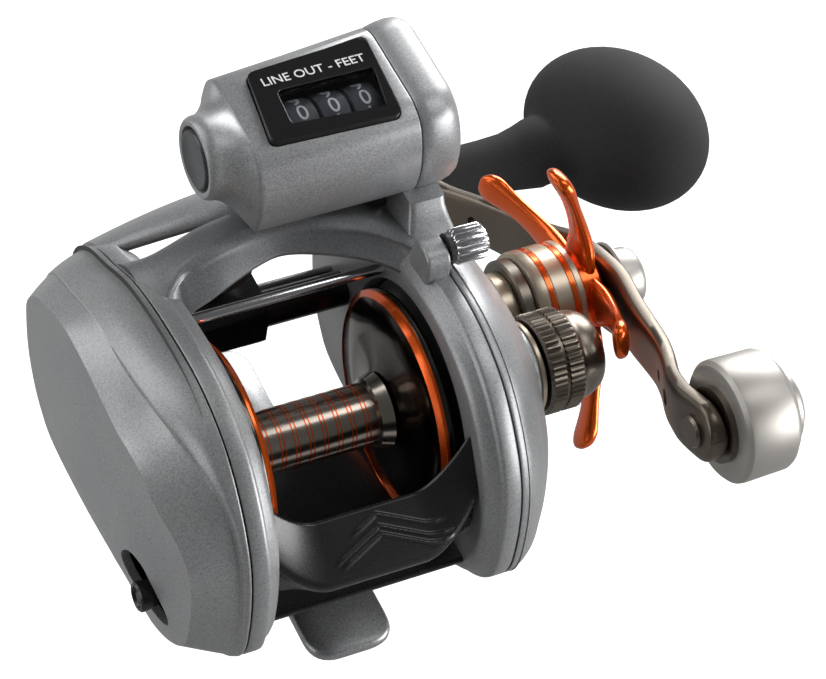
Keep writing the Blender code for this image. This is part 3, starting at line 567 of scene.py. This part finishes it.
def build_gear_plate():
    """The handle-side cover: a dome with one soft ridge, the cast knob's seat and the two holes."""
    outline = smooth_loop(GEAR_OUTLINE, 8)
    keys = [(25.3, 0.99), (25.5, 1.0), (28.0, 0.982), (31.0, 0.935), (33.0, 0.885), (34.4, 0.85),
            (37.4, 0.755), (39.6, 0.66), (40.7, 0.57), (41.0, 0.5), (41.05, 0.3), (41.05, 0.05)]
    rings = [scaled_ring(outline, x, s, GEAR_CENTRE) for x, s in smooth_line(keys, 4)]
    plate = piece("gear_side_plate_shell", skin(rings, caps=(False, True)), "silver_paint", None,
                  sharp=40)
    thicken(plate)
    for y, z, radius in ((0.0, 0.0, 6.5), (DRIVE_Y, DRIVE_Z, 6.8)):
        cut(plate, skin([circle(x, radius, y, z, 48) for x in (30, 46)]))
    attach(plate, "frame")
    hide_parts("gear_side_plate")
    profile = [(38.4, 8.8), (40.2, 8.8), (41.0, 8.6), (41.3, 8.2), (41.3, 6.6), (38.4, 6.6)]
    turned("cast_knob_seat", profile, SPOOL_AXIS, "silver_paint", sharp=40)
    turned("cast_knob_seat_ring", [(41.2, 8.4), (41.4, 8.7), (42.0, 8.7), (42.3, 8.4)], SPOOL_AXIS,
           "bronze", slot="stainless", bore=6.6, sharp=40)


def build_hood():
    """The bowed bridge at the front, higher in the middle, where the line leaves the reel."""
    middle = [(34.6, 19.4), (37.5, 20.3), (41.0, 19.2), (44.4, 16.6), (46.6, 13.6), (46.9, 12.6),
              (46.0, 12.0), (43.0, 14.6), (39.5, 16.6), (35.4, 17.4)]
    end = [(38.6, 13.4), (40.2, 13.6), (42.4, 12.4), (44.8, 10.2), (46.6, 7.4), (46.8, 6.6), (45.8, 6.2),
           (43.0, 8.6), (40.8, 10.2), (38.8, 11.4)]
    rings = []
    half_span, steps = 24.6, 48
    for i in range(steps + 1):
        x = -half_span + 2 * half_span * i / steps
        t = (abs(x) / half_span) ** 1.6
        ring = [tuple(a + (b - a) * t for a, b in zip(m, e)) for m, e in zip(middle, end)]
        ring = rounded(ring, 1.4, 3)
        rings.append([(x, y, z) for y, z in ring])
    piece("front_hood_shell", skin(rings), "silver_paint", replaces=("front_hood",), sharp=50)


def build_foot():
    """The foot, with softly rolled edges."""
    bottom, top = -27.0, -24.6
    ring = rounded([(-9.9, -30.4), (6.3, -30.4), (6.3, 39.5), (-9.9, 39.5)], 5.2, 8)
    rings = []
    for z, scale in ((bottom, 0.93), (bottom + 0.3, 0.975), (bottom + 0.9, 1.0), (top - 0.9, 1.0),
                     (top - 0.3, 0.975), (top, 0.93)):
        inset = (1 - scale) * 8.3
        rings.append([(x - math.copysign(inset, x + 1.8), y - math.copysign(inset, y - 4.5), z)
                      for x, y in ring])
    # Graphite paint lightened as painted light on the foot.
    piece("reel_foot_bar", skin(rings), "foot_painted_light", slot="graphite_paint", replaces=("reel_foot",),
          sharp=50)


def build_rear_deck():
    """The black bridge behind the spool, under the thumb bar."""
    outline = rounded([(-27.2, -12.8), (-25.6, -15.5), (-22.2, -20.4), (-19.5, -21.5), (-15.4, -21.6),
                       (-14.6, -17.8), (-18.4, -13.8), (-19.2, -12.8)], 1.5, 4)
    piece("rear_deck_cover", prism(outline, -19.0, 19.0), "satin_black", slot="black_plastic",
          replaces=("rear_deck",), bevel=0.2)


# ---------- line counter ----------

def polar(outline, centre, count):
    """The outline as (angle, radius) pairs about a centre inside it, at even angles."""
    out = []
    for angle in turns(count):
        dy, dz = math.cos(angle), math.sin(angle)
        for (y0, z0), (y1, z1) in zip(outline, outline[1:] + outline[:1]):
            turn = dy * (z1 - z0) - dz * (y1 - y0)
            reach = ((y0 - centre[0]) * (z1 - z0) - (z0 - centre[1]) * (y1 - y0)) / turn if turn else -1.0
            along = ((y0 - centre[0]) * dz - (z0 - centre[1]) * dy) / turn if turn else -1.0
            if reach > 0 and 0 <= along <= 1:
                out.append((angle, reach))
                break
    return out


def counter_left_end():
    """The (y, z) outline where the housing's sides end and its flank towards the reset bell begins."""
    return [(y, z) for _, y, z in scaled_ring(rounded(COUNTER_OUTLINE, 2.8, 6), 0.0, 0.922, COUNTER_HEEL)]


def build_counter_housing():
    """The tapered housing with its window cut out, and the rounded cap on its right end."""
    outline = rounded(COUNTER_OUTLINE, 2.8, 6)
    rings = [scaled_ring(outline, x, s, COUNTER_HEEL) for x, s in
             ((-3.6, 0.9), (-3.5, 0.916), (-3.1, 0.922), (10.0, 0.955), (25.9, 1.0), (26.15, 0.994))]
    housing = piece("counter_housing_shell", skin(rings), "silver_paint", None, sharp=40)
    ring = rounded(WINDOW, 1.7)
    cut(housing, skin([[(x, y, z) for x, y in ring] for z in (32.4, 52.0)]))
    soften(housing, 0.25, 2, 45)
    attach(housing, "frame")
    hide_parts("counter_housing")
    rings = []
    for x, scale in ((26.45, 0.99), (26.7, 1.0), (29.0, 0.995), (31.2, 0.975), (33.0, 0.94), (34.3, 0.89),
                     (35.1, 0.82), (35.5, 0.72), (35.6, 0.5)):
        ring = []
        for _, y, z in scaled_ring(outline, x, scale, (37.0, 34.0)):
            along = (x - 26.45) / 9.0
            ring.append((x + 0.10 * (38.0 - z) * along, y + 2.2 * along * (y - 22.0) / 26.0,
                         z + 0.9 * along * (z - 34) / 12))
        rings.append(ring)
    piece("counter_end_cap", skin(rings), "silver_paint", replaces=("counter_end_cover",), sharp=45)


WINDOW = [(1.4, 43.2), (24.9, 45.0), (23.5, 25.4), (-0.9, 26.6)]
WHEEL_GAP = 5.7
OPENING = [(4.9, 37.4), (23.2, 37.4), (21.5, 28.3), (4.2, 29.5)]


def window_height(y):
    return 46.9 - 0.035 * abs(y - 30.0)


def build_counter_window():
    """A glossy black bezel with an opening, the clear cover in it and the floor strips by the wheels."""
    outer, inner = rounded(WINDOW, 1.7, 5), rounded(OPENING, 0.9, 5)
    middle = Vector((12.2, 35.0))
    outer = [tuple(middle + (Vector(p) - middle) * 0.985) for p in outer]
    rings = []
    for ring, drop in ((outer, 2.0), (outer, 0.12), (inner, 0.12), (inner, 2.0)):
        rings.append([(x, y, window_height(y) - drop) for x, y in ring])
    piece("window_bezel", skin(rings, closed=True), "lens", replaces=("counter_window",), bevel=0.12)
    rings = [[(x, y, window_height(y) - drop) for x, y in inner] for drop in (1.0, 0.3)]
    piece("window_glass", skin(rings), "glass", slot="lens", sharp=40)
    for name, near, far in (("rear", 27.2, COUNTER_Y - WHEEL_GAP), ("front", COUNTER_Y + WHEEL_GAP, 42.4)):
        piece(f"window_well_floor_{name}", block((1.2, near, 36.6), (23.0, far, 37.0)), "black_plastic",
              slot="silver_paint", bevel=0.05)


def letters(text, size, extrude):
    """The mesh of a short text, centred on its origin, in millimetres."""
    curve = bpy.data.curves.new("letters", "FONT")
    curve.body = text
    curve.size = size
    curve.extrude = extrude
    curve.resolution_u = 3
    curve.align_x = "CENTER"
    curve.align_y = "CENTER"
    obj = add_object("letters", curve)
    bpy.context.view_layer.update()
    graph = bpy.context.evaluated_depsgraph_get()
    mesh = bpy.data.meshes.new_from_object(obj.evaluated_get(graph))
    bpy.data.objects.remove(obj)
    bpy.data.curves.remove(curve)
    points = [tuple(v.co) for v in mesh.vertices]
    faces = [tuple(p.vertices) for p in mesh.polygons]
    bpy.data.meshes.remove(mesh)
    return points, faces


def build_label():
    """The words on the bezel in front of the opening, turned a little with the window."""
    middle_x, middle_y = 12.9, 39.9
    points, faces = letters("LINE OUT - FEET", 2.65, 0.06)
    turn = math.radians(0.5)
    placed = []
    for x, y, z in points:
        px = middle_x + x * math.cos(turn) - y * math.sin(turn)
        py = middle_y + x * math.sin(turn) + y * math.cos(turn)
        placed.append((px, py, window_height(py) - 0.08 + z))
    piece("counter_label", (placed, faces), "digit_white", slot="lens")


def build_wheels():
    """Three number wheels, each with the digits 0 to 9 wrapped round its rim."""
    radius, width = 5.6, 5.5
    for index, node in enumerate(("hundreds_wheel", "tens_wheel", "units_wheel")):
        x0 = 5.3 + 5.9 * index
        x1 = x0 + width
        profile = [(x0, 4.9), (x0 + 0.2, radius - 0.15), (x0 + 0.5, radius), (x1 - 0.5, radius),
                   (x1 - 0.2, radius - 0.15), (x1, 4.9)]
        turned(node + "_drum", profile, COUNTER_AXIS, "wheel_plastic", node, sides=60, bore=1.0,
               replaces=(node,), sharp=40)
        for digit in range(10):
            points, faces = letters(str(digit), 4.5, 0.05)
            start = math.radians(6.0 + 36.0 * digit)
            wrapped = []
            for x, y, z in points:
                angle = start - y / radius
                r = radius + 0.02 + z
                wrapped.append((x0 + width / 2 + x * 0.95, COUNTER_Y - r * math.sin(angle),
                                COUNTER_Z + r * math.cos(angle)))
            piece(f"{node}_digit_{digit}", (wrapped, faces), "digit_white", node, slot="wheel_plastic")


def build_reset():
    """The necked bell at the counter's left end and the reset button in its mouth."""
    mouth = [(-3.7, 5.7), (-10.6, 5.7), (-11.2, 5.9), (-11.35, 6.2), (-11.3, 6.8), (-10.9, 7.2),
             (-10.2, 7.45), (-9.4, 7.5)]
    bell = [circle(x, r, *COUNTER_AXIS, 96) for x, r in mouth]
    end = polar(counter_left_end(), COUNTER_AXIS, 96)
    neck, steps = 7.5, 24
    for i in range(1, steps + 1):
        t = i / steps
        x = -9.4 + 5.9 * t
        share = 0.25 * t + 0.75 * t ** 1.9
        share = (share - max(0.0, share - 0.8) ** 2 / 0.4) / 0.9
        ring = []
        for angle, reach in end:
            r = neck + (reach - neck) * share
            ring.append((x, COUNTER_Y + r * math.cos(angle), COUNTER_Z + r * math.sin(angle)))
        bell.append(ring)
    piece("reset_bell", skin(bell, closed=True), "silver_paint", replaces=("reset_bezel",), sharp=40)
    profile = [(-7.0, 5.2), (-11.2, 5.3), (-11.55, 5.1), (-11.6, 4.7), (-11.45, 4.4), (-11.45, 0.3)]
    turned("reset_button_cap", profile, COUNTER_AXIS, "graphite_paint", "reset_button", sides=56,
           replaces=("reset_button",), sharp=40)


def build_bracket():
    """The post that carries the counter's right end, leaning back as it rises."""
    levels = [(23.8, 12.5, 24.5, 21.6, 32.0), (25.4, 14.2, 25.0, 22.4, 31.4),
              (27.0, 16.4, 26.4, 23.2, 31.0), (28.4, 18.0, 28.0, 23.8, 30.8),
              (30.0, 19.0, 29.0, 24.0, 30.8)]
    rings = []
    for z, y0, y1, x0, x1 in levels:
        ring = rounded([(x0, y0), (x1, y0), (x1, y1), (x0, y1)], 1.2, 4)
        rings.append([(x, y, z) for x, y in ring])
    piece("counter_bracket_arm", skin(rings), "silver_paint", replaces=("counter_bracket",), sharp=45)


def build_thumbscrew():
    """The knurled screw beside the counter's bracket, and its washer."""
    flutes, depth = 16, 0.3
    profile = [(20.8, 1.2), (26.2, 1.2), (26.2, 2.4), (26.5, 2.75, flutes, depth * 0.5),
               (26.9, 2.95, flutes, depth), (31.9, 2.95, flutes, depth), (32.4, 2.7, flutes, depth * 0.4),
               (32.6, 2.3), (32.5, 1.9), (32.3, 0.3)]
    turned("thumbscrew_head", profile, SCREW_AXIS, "chrome", sides=144, replaces=("thumbscrew",),
           sharp=30)
    turned("thumbscrew_washer", [(25.2, 2.6), (25.3, 2.8), (26.0, 2.8), (26.1, 2.6)], SCREW_AXIS,
           "black_plastic", sides=40, bore=1.3)


# ---------- spool ----------

def build_spool():
    """The spool with its dark flanges, bright barrel, orange rims and the fine orange lines."""
    barrel, flange, edge = 5.65, 21.0, 18.1
    side = [(edge, flange - 0.15), (edge - 0.3, flange), (16.8, flange), (16.4, flange - 0.3),
            (15.5, flange - 1.2), (14.7, 13.5), (14.25, 8.4), (13.7, 7.1)]
    collar = [(13.2, 7.0), (12.0, 6.6), (11.0, 6.3), (10.6, barrel)]
    inner = [(edge - 0.1, flange - 1.1), (15.9, 9.0), (15.9, 3.4), (13.0, 3.4)]
    for name, way in (("right", 1), ("left", -1)):
        shape = skin([circle(way * x, r, 0, 0, 96) for x, r in side[::-1] + inner], closed=True)
        piece(f"spool_flange_{name}", shape, "dark_chrome", "spool", slot="gunmetal",
              replaces=("spool",) if way > 0 else (), sharp=40)
    profile = [(-x, r) for x, r in collar] + [(x, r) for x, r in reversed(collar)]
    turned("spool_barrel", profile, SPOOL_AXIS, "gunmetal", "spool", sides=96, bore=3.3, sharp=40)
    for index, x in enumerate((-16.35, 16.35)):
        out = math.copysign(1.0, x)
        band = [(x + out * 0.35, flange + 0.06), (x - out * 0.12, flange + 0.02),
                (x - out * 0.3, flange - 0.25), (x - out * 0.98, flange - 1.05),
                (x - out * 0.75, flange - 1.2), (x + out * 0.5, flange - 0.5)]
        shape = skin([circle(px, r, 0, 0, 120) for px, r in band], closed=True)
        piece(f"spool_rim_line_{index + 1}", shape, "orange_anodised", "spool", sharp=50)
    for index in range(8):
        for letter, offset in (("a", -0.36), ("b", 0.36)):
            x = -10.3 + 2.69 * index + offset
            low, high = barrel - 0.05, barrel + 0.05
            profile = [(x - 0.16, low), (x - 0.12, high), (x + 0.12, high), (x + 0.16, low)]
            turned(f"barrel_line_{index + 1}_{letter}", profile, SPOOL_AXIS, "orange_anodised", "spool",
                   sides=72, bore=barrel - 0.3)


# ---------- thumb bar ----------

def build_thumb_bar():
    """The clutch bar: a panel with three raised chevrons between two wings that curl up to the rings."""
    panel = [(-22.5, 4.6), (-22.5, 6.2), (-23.0, 6.6), (-24.2, 6.0), (-30.4, 1.3), (-31.6, 0.1),
             (-31.9, -0.9), (-31.4, -2.2)]
    curve, line = smooth_line(panel, 6), []
    for a, b in zip(curve, curve[1:]):
        steps = max(1, round(math.dist(a, b) / 0.16))
        line += [(a[0] + (b[0] - a[0]) * j / steps, a[1] + (b[1] - a[1]) * j / steps) for j in range(steps)]
    line.append(panel[-1])
    under = [(-27.6, -5.4), (-25.2, -5.0), (-23.4, 0.0)]
    columns = []
    half_width, count = 18.8, 188
    for i in range(count + 1):
        x = -half_width + 2 * half_width * i / count
        wing = max(0.0, (abs(x + 1.0) - 9.0) / 9.4)
        lift = 6.8 * wing ** 1.8
        forward = 1.7 * wing ** 1.7
        column = []
        for k, (y, z) in enumerate(line):
            ease = 1.0 + 0.5 * k / (len(line) - 1)
            raised = 0.7 * chevron(x, y)
            column.append((x, y + forward * (3.2 * ease - 2.2) - raised, z + lift / ease + raised))
        for y, z in under:
            column.append((x, y + forward * 0.5, z + lift * 0.3))
        columns.append(column)
    piece("thumb_bar_panel", skin(columns), "satin_black", "thumb_bar", slot="black_plastic",
          replaces=("thumb_bar",), sharp=40)


def chevron(x, y):
    """Height of the three raised chevrons at a place on the thumb panel."""
    height = 0.0
    for peak, left, right in ((-24.2, 5.5, 12.0), (-25.9, 9.5, 13.0), (-27.0, 8.5, 13.0)):
        ridge = peak - 0.38 * abs(x - 0.5)
        reach = left if x < 0.5 else right
        fade = min(1.0, max(0.0, (reach - abs(x - 0.5)) / 2.0))
        height += 0.42 * fade * math.exp(-((y - ridge) / 0.26) ** 2)
    return height


# ---------- handle side ----------

def build_hub():
    """The sleeve, the dark band and the collar with its two orange lines, out along the drive axis."""
    profile = [(39.5, 6.2), (41.1, 6.2), (41.1, 7.2), (41.5, 7.5), (44.6, 7.5), (44.9, 7.2), (45.3, 7.2),
               (45.6, 7.5), (48.0, 7.5), (48.2, 7.3)]
    turned("hub_sleeve_body", profile, DRIVE_AXIS, "bronze", sides=72, bore=4.6, replaces=("hub_sleeve",),
           sharp=30)
    turned("hub_black_band", [(48.2, 9.0), (48.5, 9.5), (50.4, 9.5), (50.7, 9.0)], DRIVE_AXIS,
           "black_nickel", slot="bronze", sides=72, bore=4.7, sharp=30)
    profile = [(50.8, 9.7), (51.0, 10.2), (51.6, 10.4), (53.2, 10.4), (53.3, 10.2), (54.6, 10.2),
               (54.7, 10.4), (57.7, 10.4), (57.8, 10.2), (59.1, 10.2), (59.2, 10.4), (60.2, 10.4),
               (60.5, 9.9)]
    turned("drive_collar_body", profile, DRIVE_AXIS, "bronze", sides=96, bore=4.6,
           replaces=("drive_collar",), sharp=30)
    for index, (x0, x1) in enumerate(((53.4, 54.5), (57.9, 59.0))):
        turned(f"collar_line_{index + 1}", [(x0, 10.1), (x0 + 0.1, 10.4), (x1 - 0.1, 10.4), (x1, 10.1)],
               DRIVE_AXIS, "orange_anodised", sides=96, bore=9.9, sharp=30)


def build_cast_knob():
    """The cast-control cap: two knurled bands and a smooth domed end."""
    flutes, depth = 48, 0.2
    profile = [(43.0, 8.6), (43.3, 8.9), (43.5, 9.15, flutes, depth), (46.0, 9.15, flutes, depth),
               (46.1, 8.85), (46.7, 8.85), (46.8, 9.15, flutes, depth), (49.5, 9.15, flutes, depth),
               (49.8, 8.9), (50.2, 8.5)]
    dome = [(50.3, 8.35), (52.5, 7.95), (54.4, 7.0), (55.6, 5.4), (56.1, 3.4), (56.2, 0.3)]
    profile += smooth_line(dome, 4)[1:]
    turned("cast_knob_cap", profile, SPOOL_AXIS, "black_nickel", "cast_knob", slot="bronze", sides=336,
           replaces=("cast_knob",), sharp=28)


STAR_ARMS, STAR_PHASE = 5, math.radians(5.0)


def build_star():
    """Five swept fingers with rounded knuckles, and the hub they grow from."""
    profile = [(60.9, 6.6), (61.0, 7.9), (61.4, 8.3), (64.8, 8.3), (65.5, 7.6), (65.7, 6.2)]
    turned("star_drag_hub", profile, DRIVE_AXIS, "orange_anodised", "star", bore=3.2,
           replaces=("star_drag",), sharp=40)
    for k in range(STAR_ARMS):
        angle = STAR_PHASE + 2 * math.pi * k / STAR_ARMS
        stations = [(5.5, 4.8, 3.0), (9.0, 4.2, 3.2), (12.5, 3.3, 3.0), (16.0, 2.8, 2.6),
                    (20.6, 2.7, 2.4), (23.6, 3.1, 2.9), (25.8, 3.5, 3.4), (27.4, 3.1, 3.1),
                    (28.3, 2.1, 2.1), (28.7, 0.5, 0.6)]
        rings = []
        for reach, half_width, thick in smooth_line(stations, 3):
            lean = 6.4 * (max(0.0, reach - 11.0) / 17.6) ** 1.4
            ring = []
            for t in turns(20):
                across = half_width * bulge(math.cos(t), 0.75)
                lift = thick / 2 * bulge(math.sin(t), 0.75)
                ring.append((63.6 - lean + lift,
                             DRIVE_Y + reach * math.cos(angle) - across * math.sin(angle),
                             DRIVE_Z + reach * math.sin(angle) + across * math.cos(angle)))
            rings.append(ring)
        piece(f"star_finger_{k + 1}", skin(rings), "orange_anodised", "star", sharp=60)


def build_arm():
    """The swept double arm, rounded at both edges, with its lightening holes."""
    reaches = [(ARM_REACH + 5.9, 0.6), (ARM_REACH + 5.5, 2.6), (ARM_REACH + 4.2, 4.3),
               (ARM_REACH + 2.4, 5.3), (ARM_REACH, 5.7), (50.0, 5.4), (44.0, 5.0), (38.0, 4.9),
               (32.0, 5.0), (26.0, 5.3), (20.0, 5.7), (15.0, 6.2), (10.0, 7.0), (5.0, 7.5), (0.0, 7.7)]
    reaches = [(-reach, width) for reach, width in reaches] + reaches[-2::-1]
    rings = []
    half, edge = ARM_THICK / 2, 1.2
    for reach, half_width in smooth_line(reaches, 3):
        x = ARM_X + arm_shift(reach)
        ring = []
        for t in turns(24):
            across = (half_width - edge) * bulge(math.cos(t), 0.35) + edge * math.cos(t)
            lift = half * bulge(math.sin(t), 0.45)
            ring.append(arm_point(reach, across, x + lift))
        rings.append(ring)
    arm = piece("handle_arm_bar", skin(rings), "bronze_arm", None, sharp=40)
    for reach, radius in ((44.0, 1.5), (-44.0, 1.5), (36.5, 1.1), (-36.5, 1.1)):
        _, y, z = arm_point(reach, 0, 0)
        x = ARM_X + arm_shift(reach)
        cut(arm, skin([circle(px, radius, y, z, 28) for px in (x - 6, x + 6)]))
    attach(arm, "crank")
    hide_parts("handle_arm")


def build_arm_hardware():
    """The nut, the counterweight with its dished inner face, and the knob's spindle head."""
    profile = [(69.8, 7.4), (70.3, 7.6), (70.8, 7.4), (70.9, 5.9), (74.2, 5.7), (75.2, 5.2), (75.8, 4.2),
               (76.0, 2.6), (75.8, 0.3)]
    turned("handle_nut_cap", profile, DRIVE_AXIS, "stainless", "crank",
           replaces=("handle_nut",), sharp=35)
    end_x = ARM_X - ARM_BEND
    face = end_x + ARM_THICK / 2
    _, y, z = arm_point(ARM_REACH, 0, 0)
    profile = [(face + 1.5, 6.5), (face + 1.3, 9.0), (face + 1.5, 10.3), (face + 2.2, 11.0),
               (face + 3.0, 11.1), (face + 10.8, 10.9), (face + 11.4, 10.6), (face + 12.6, 9.2),
               (face + 12.7, 8.6), (face + 12.8, 7.6), (face + 14.4, 7.0), (face + 15.7, 5.2),
               (face + 16.3, 3.0), (face + 16.5, 0.3)]
    turned("counterweight_barrel", profile, (y, z), "stainless", "crank", sides=96,
           replaces=("counterweight",), sharp=28)
    profile = [(end_x - 2.8, 0.3), (end_x - 2.7, 2.6), (end_x - 2.2, 3.0), (end_x - 1.7, 3.0),
               (face + 0.2, 3.2), (face + 0.3, 6.9), (face + 1.7, 6.9)]
    turned("counterweight_collar", profile, (y, z), "black_nickel", "crank", slot="bronze", sides=48,
           sharp=30)
    _, y, z = arm_point(-ARM_REACH, 0, 0)
    profile = [(end_x - 3.0, 0.3), (end_x - 2.9, 2.8), (end_x - 2.4, 3.3), (end_x - 1.8, 3.3)]
    turned("spindle_head", profile, (y, z), "stainless", "crank", sides=40, sharp=35)


def build_grip():
    """The foam paddle: a round neck that swells into a flattened egg, longest along the arm."""
    face = ARM_X - ARM_BEND + ARM_THICK / 2
    _, y, z = arm_point(-ARM_REACH, 0, 0)
    stations = [(face + 0.9, 4.2, 4.2, 0.0), (face + 1.1, 5.2, 5.2, 0.0), (face + 1.8, 5.8, 5.8, 0.0),
                (68.0, 5.8, 5.8, 0.0), (78.0, 6.0, 5.9, 0.1), (84.0, 7.6, 7.0, 0.5)]
    for turn in (-66, -56, -45, -34, -22, -10, 2, 14, 26, 38, 50, 61, 71, 80, 86):
        t = math.radians(turn)
        stations.append((103.2 + 16.7 * math.sin(t), 24.6 * math.cos(t), 15.2 * math.cos(t), 1.2))
    rings = []
    for x, long_r, short_r, rise in smooth_line(stations, 2):
        ring = []
        for t in turns(64):
            offset = ARM_DIRECTION * (long_r * math.cos(t)) + ARM_SIDE * (short_r * math.sin(t) - rise)
            ring.append((x, y + offset.y, z + offset.z))
        rings.append(ring)
    grip = piece("grip_paddle", skin(rings), "foam", "grip", replaces=("grip_knob",), sharp=60)


# ---------- guide bar ----------

def build_guide_bar():
    """The polished bar behind the arch, with domed ends."""
    profile = [(-20.6, 0.1), (-20.5, 0.55), (-20.2, 0.85), (-19.8, 1.0), (19.8, 1.0), (20.2, 0.85),
               (20.5, 0.55), (20.6, 0.1)]
    turned("guide_bar_polished", profile, GUIDE_AXIS, "chrome", sides=40, replaces=("guide_bar",),
           sharp=40)


# ---------- stage ----------

LAMP_AIM = (0.01, 0.0, 0.02)
LAMPS = [  # name, place in metres, size and power
    ("front_right", (0.7, 0.7, 0.3), (0.6, 0.6), 11.0),
    ("rear_right", (0.8, -0.5, 0.15), (0.6, 0.6), 10.5),
    ("front_left", (-0.6, 0.7, 0.3), (0.6, 0.6), 2.4),
    ("left", (-0.8, 0.0, 0.25), (0.5, 0.6), 2.0),
    ("high_left", (-0.4, 0.4, 0.7), (0.6, 0.6), 1.8),
    ("high_right", (0.5, -0.05, 0.75), (0.3, 0.5), 1.5),
]


def area_light(name, place, size, power):
    data = bpy.data.lights.new(name, "AREA")
    data.shape = "RECTANGLE"
    data.size, data.size_y = size
    data.energy = power
    obj = add_object(name, data)
    obj.location = place
    obj.rotation_euler = (Vector(LAMP_AIM) - Vector(place)).to_track_quat("-Z", "Y").to_euler()


def seen_strength(tree, extra, base, target):
    """A strength of base for light that bounces, and extra on top of it where the camera looks."""
    seen = tree.nodes.new("ShaderNodeLightPath")
    glow = add_node(tree, "ShaderNodeMath", {1: extra, 2: base})
    glow.operation = "MULTIPLY_ADD"
    tree.links.new(seen.outputs["Is Camera Ray"], glow.inputs[0])
    tree.links.new(glow.outputs["Value"], target)


def build_floor():
    """The floor under the reel: white to the camera, grey for the light that bounces off it."""
    mesh = bpy.data.meshes.new("floor")
    reach, level = 3.0, -0.034
    corners = [(-reach, -reach), (reach, -reach), (reach, reach), (-reach, reach)]
    mesh.from_pydata([(x, y, level) for x, y in corners], [], [(0, 1, 2, 3)])
    floor = add_object("floor", mesh)
    made, tree, shader = node_material("floor_white")
    drift = noise(tree, coordinates(tree), 0.01, 2.0)
    tone = ramp(tree, drift, [(0.3, (0.33, 0.33, 0.33)), (0.7, (0.36, 0.36, 0.36))])
    tree.links.new(tone, shader.inputs["Base Color"])
    set_inputs(shader, {"Roughness": 0.9, "Specular IOR Level": 0.1, "Emission Color": (1, 1, 1, 1)})
    seen_strength(tree, 0.98, 0.04, shader.inputs["Emission Strength"])
    mesh.materials.append(made)


def build_lights():
    """A world that is white to the camera and dim as a light, and the lamps."""
    world = bpy.data.worlds.new("studio")
    world.use_nodes = True
    bpy.context.scene.world = world
    background = world.node_tree.nodes["Background"]
    background.inputs["Color"].default_value = (0.98, 0.99, 1.0, 1.0)
    seen_strength(world.node_tree, 0.9, 0.1, background.inputs["Strength"])
    for lamp in LAMPS:
        area_light(*lamp)
    bpy.context.scene.view_settings.view_transform = "Standard"


CAMERA_PLACE = Vector((-197.1, -316.9, 497.4))
CAMERA_RIGHT, CAMERA_UP = Vector((0.897, -0.4227, 0.1289)), Vector((0.254, 0.7317, 0.6327))


def build_camera():
    data = bpy.data.cameras.new("camera")
    data.lens, data.sensor_width = 150.0, 36.0
    data.clip_start, data.clip_end = 0.01, 20.0
    camera = add_object("camera", data)
    right = CAMERA_RIGHT.normalized()
    back = right.cross(CAMERA_UP).normalized()
    up = back.cross(right)
    turn = Matrix((right, up, back)).transposed().to_4x4()
    camera.matrix_world = Matrix.Translation(CAMERA_PLACE * MM) @ turn
    bpy.context.scene.camera = camera


# ---------- CAD nodes that stay ----------

CAD_FINISH = {"worm_guard": "dark_gloss", "stabiliser_bar": "satin_steel", "carriage": "satin_black",
              "line_guide": "stainless", "brake_plate": "graphite_paint",
              "gear_inner_plate": "graphite_paint", "tension_boss": "graphite_paint"}


def dress_cad_nodes(nodes, record):
    """Every CAD node that still shows gets a finish and smooth faces; the carriage's edges are softened."""
    slots = {entry["node"]: entry["material_slot"] for entry in record["subparts"]}
    for name, obj in nodes.items():
        if obj.hide_render:
            continue
        finish_name = CAD_FINISH.get(name, slots.get(name, "stainless"))
        obj.data.materials.clear()
        obj.data.materials.append(MATERIALS[finish_name])
        for polygon in obj.data.polygons:
            polygon.material_index = 0
            polygon.use_smooth = True
        weld = obj.modifiers.new("weld", "WELD")
        weld.merge_threshold = 1e-6
        if name == "carriage":
            soften(obj, 1.0, 4, 25)
        split = obj.modifiers.new("edges", "EDGE_SPLIT")
        split.split_angle = math.radians(32)
        split.use_edge_sharp = False


build_camera()
build_floor()
build_lights()
for ring_side in (-1, 1):
    build_ring(ring_side)
build_arch()
build_frame_details()
build_palm_plate()
build_clicker()
build_gear_plate()
build_hood()
build_foot()
build_rear_deck()
build_counter_housing()
build_counter_window()
build_label()
build_wheels()
build_reset()
build_bracket()
build_thumbscrew()
build_spool()
build_thumb_bar()
build_hub()
build_cast_knob()
build_star()
build_arm()
build_arm_hardware()
build_grip()
build_guide_bar()
dress_cad_nodes(frame["nodes"], frame["record"])
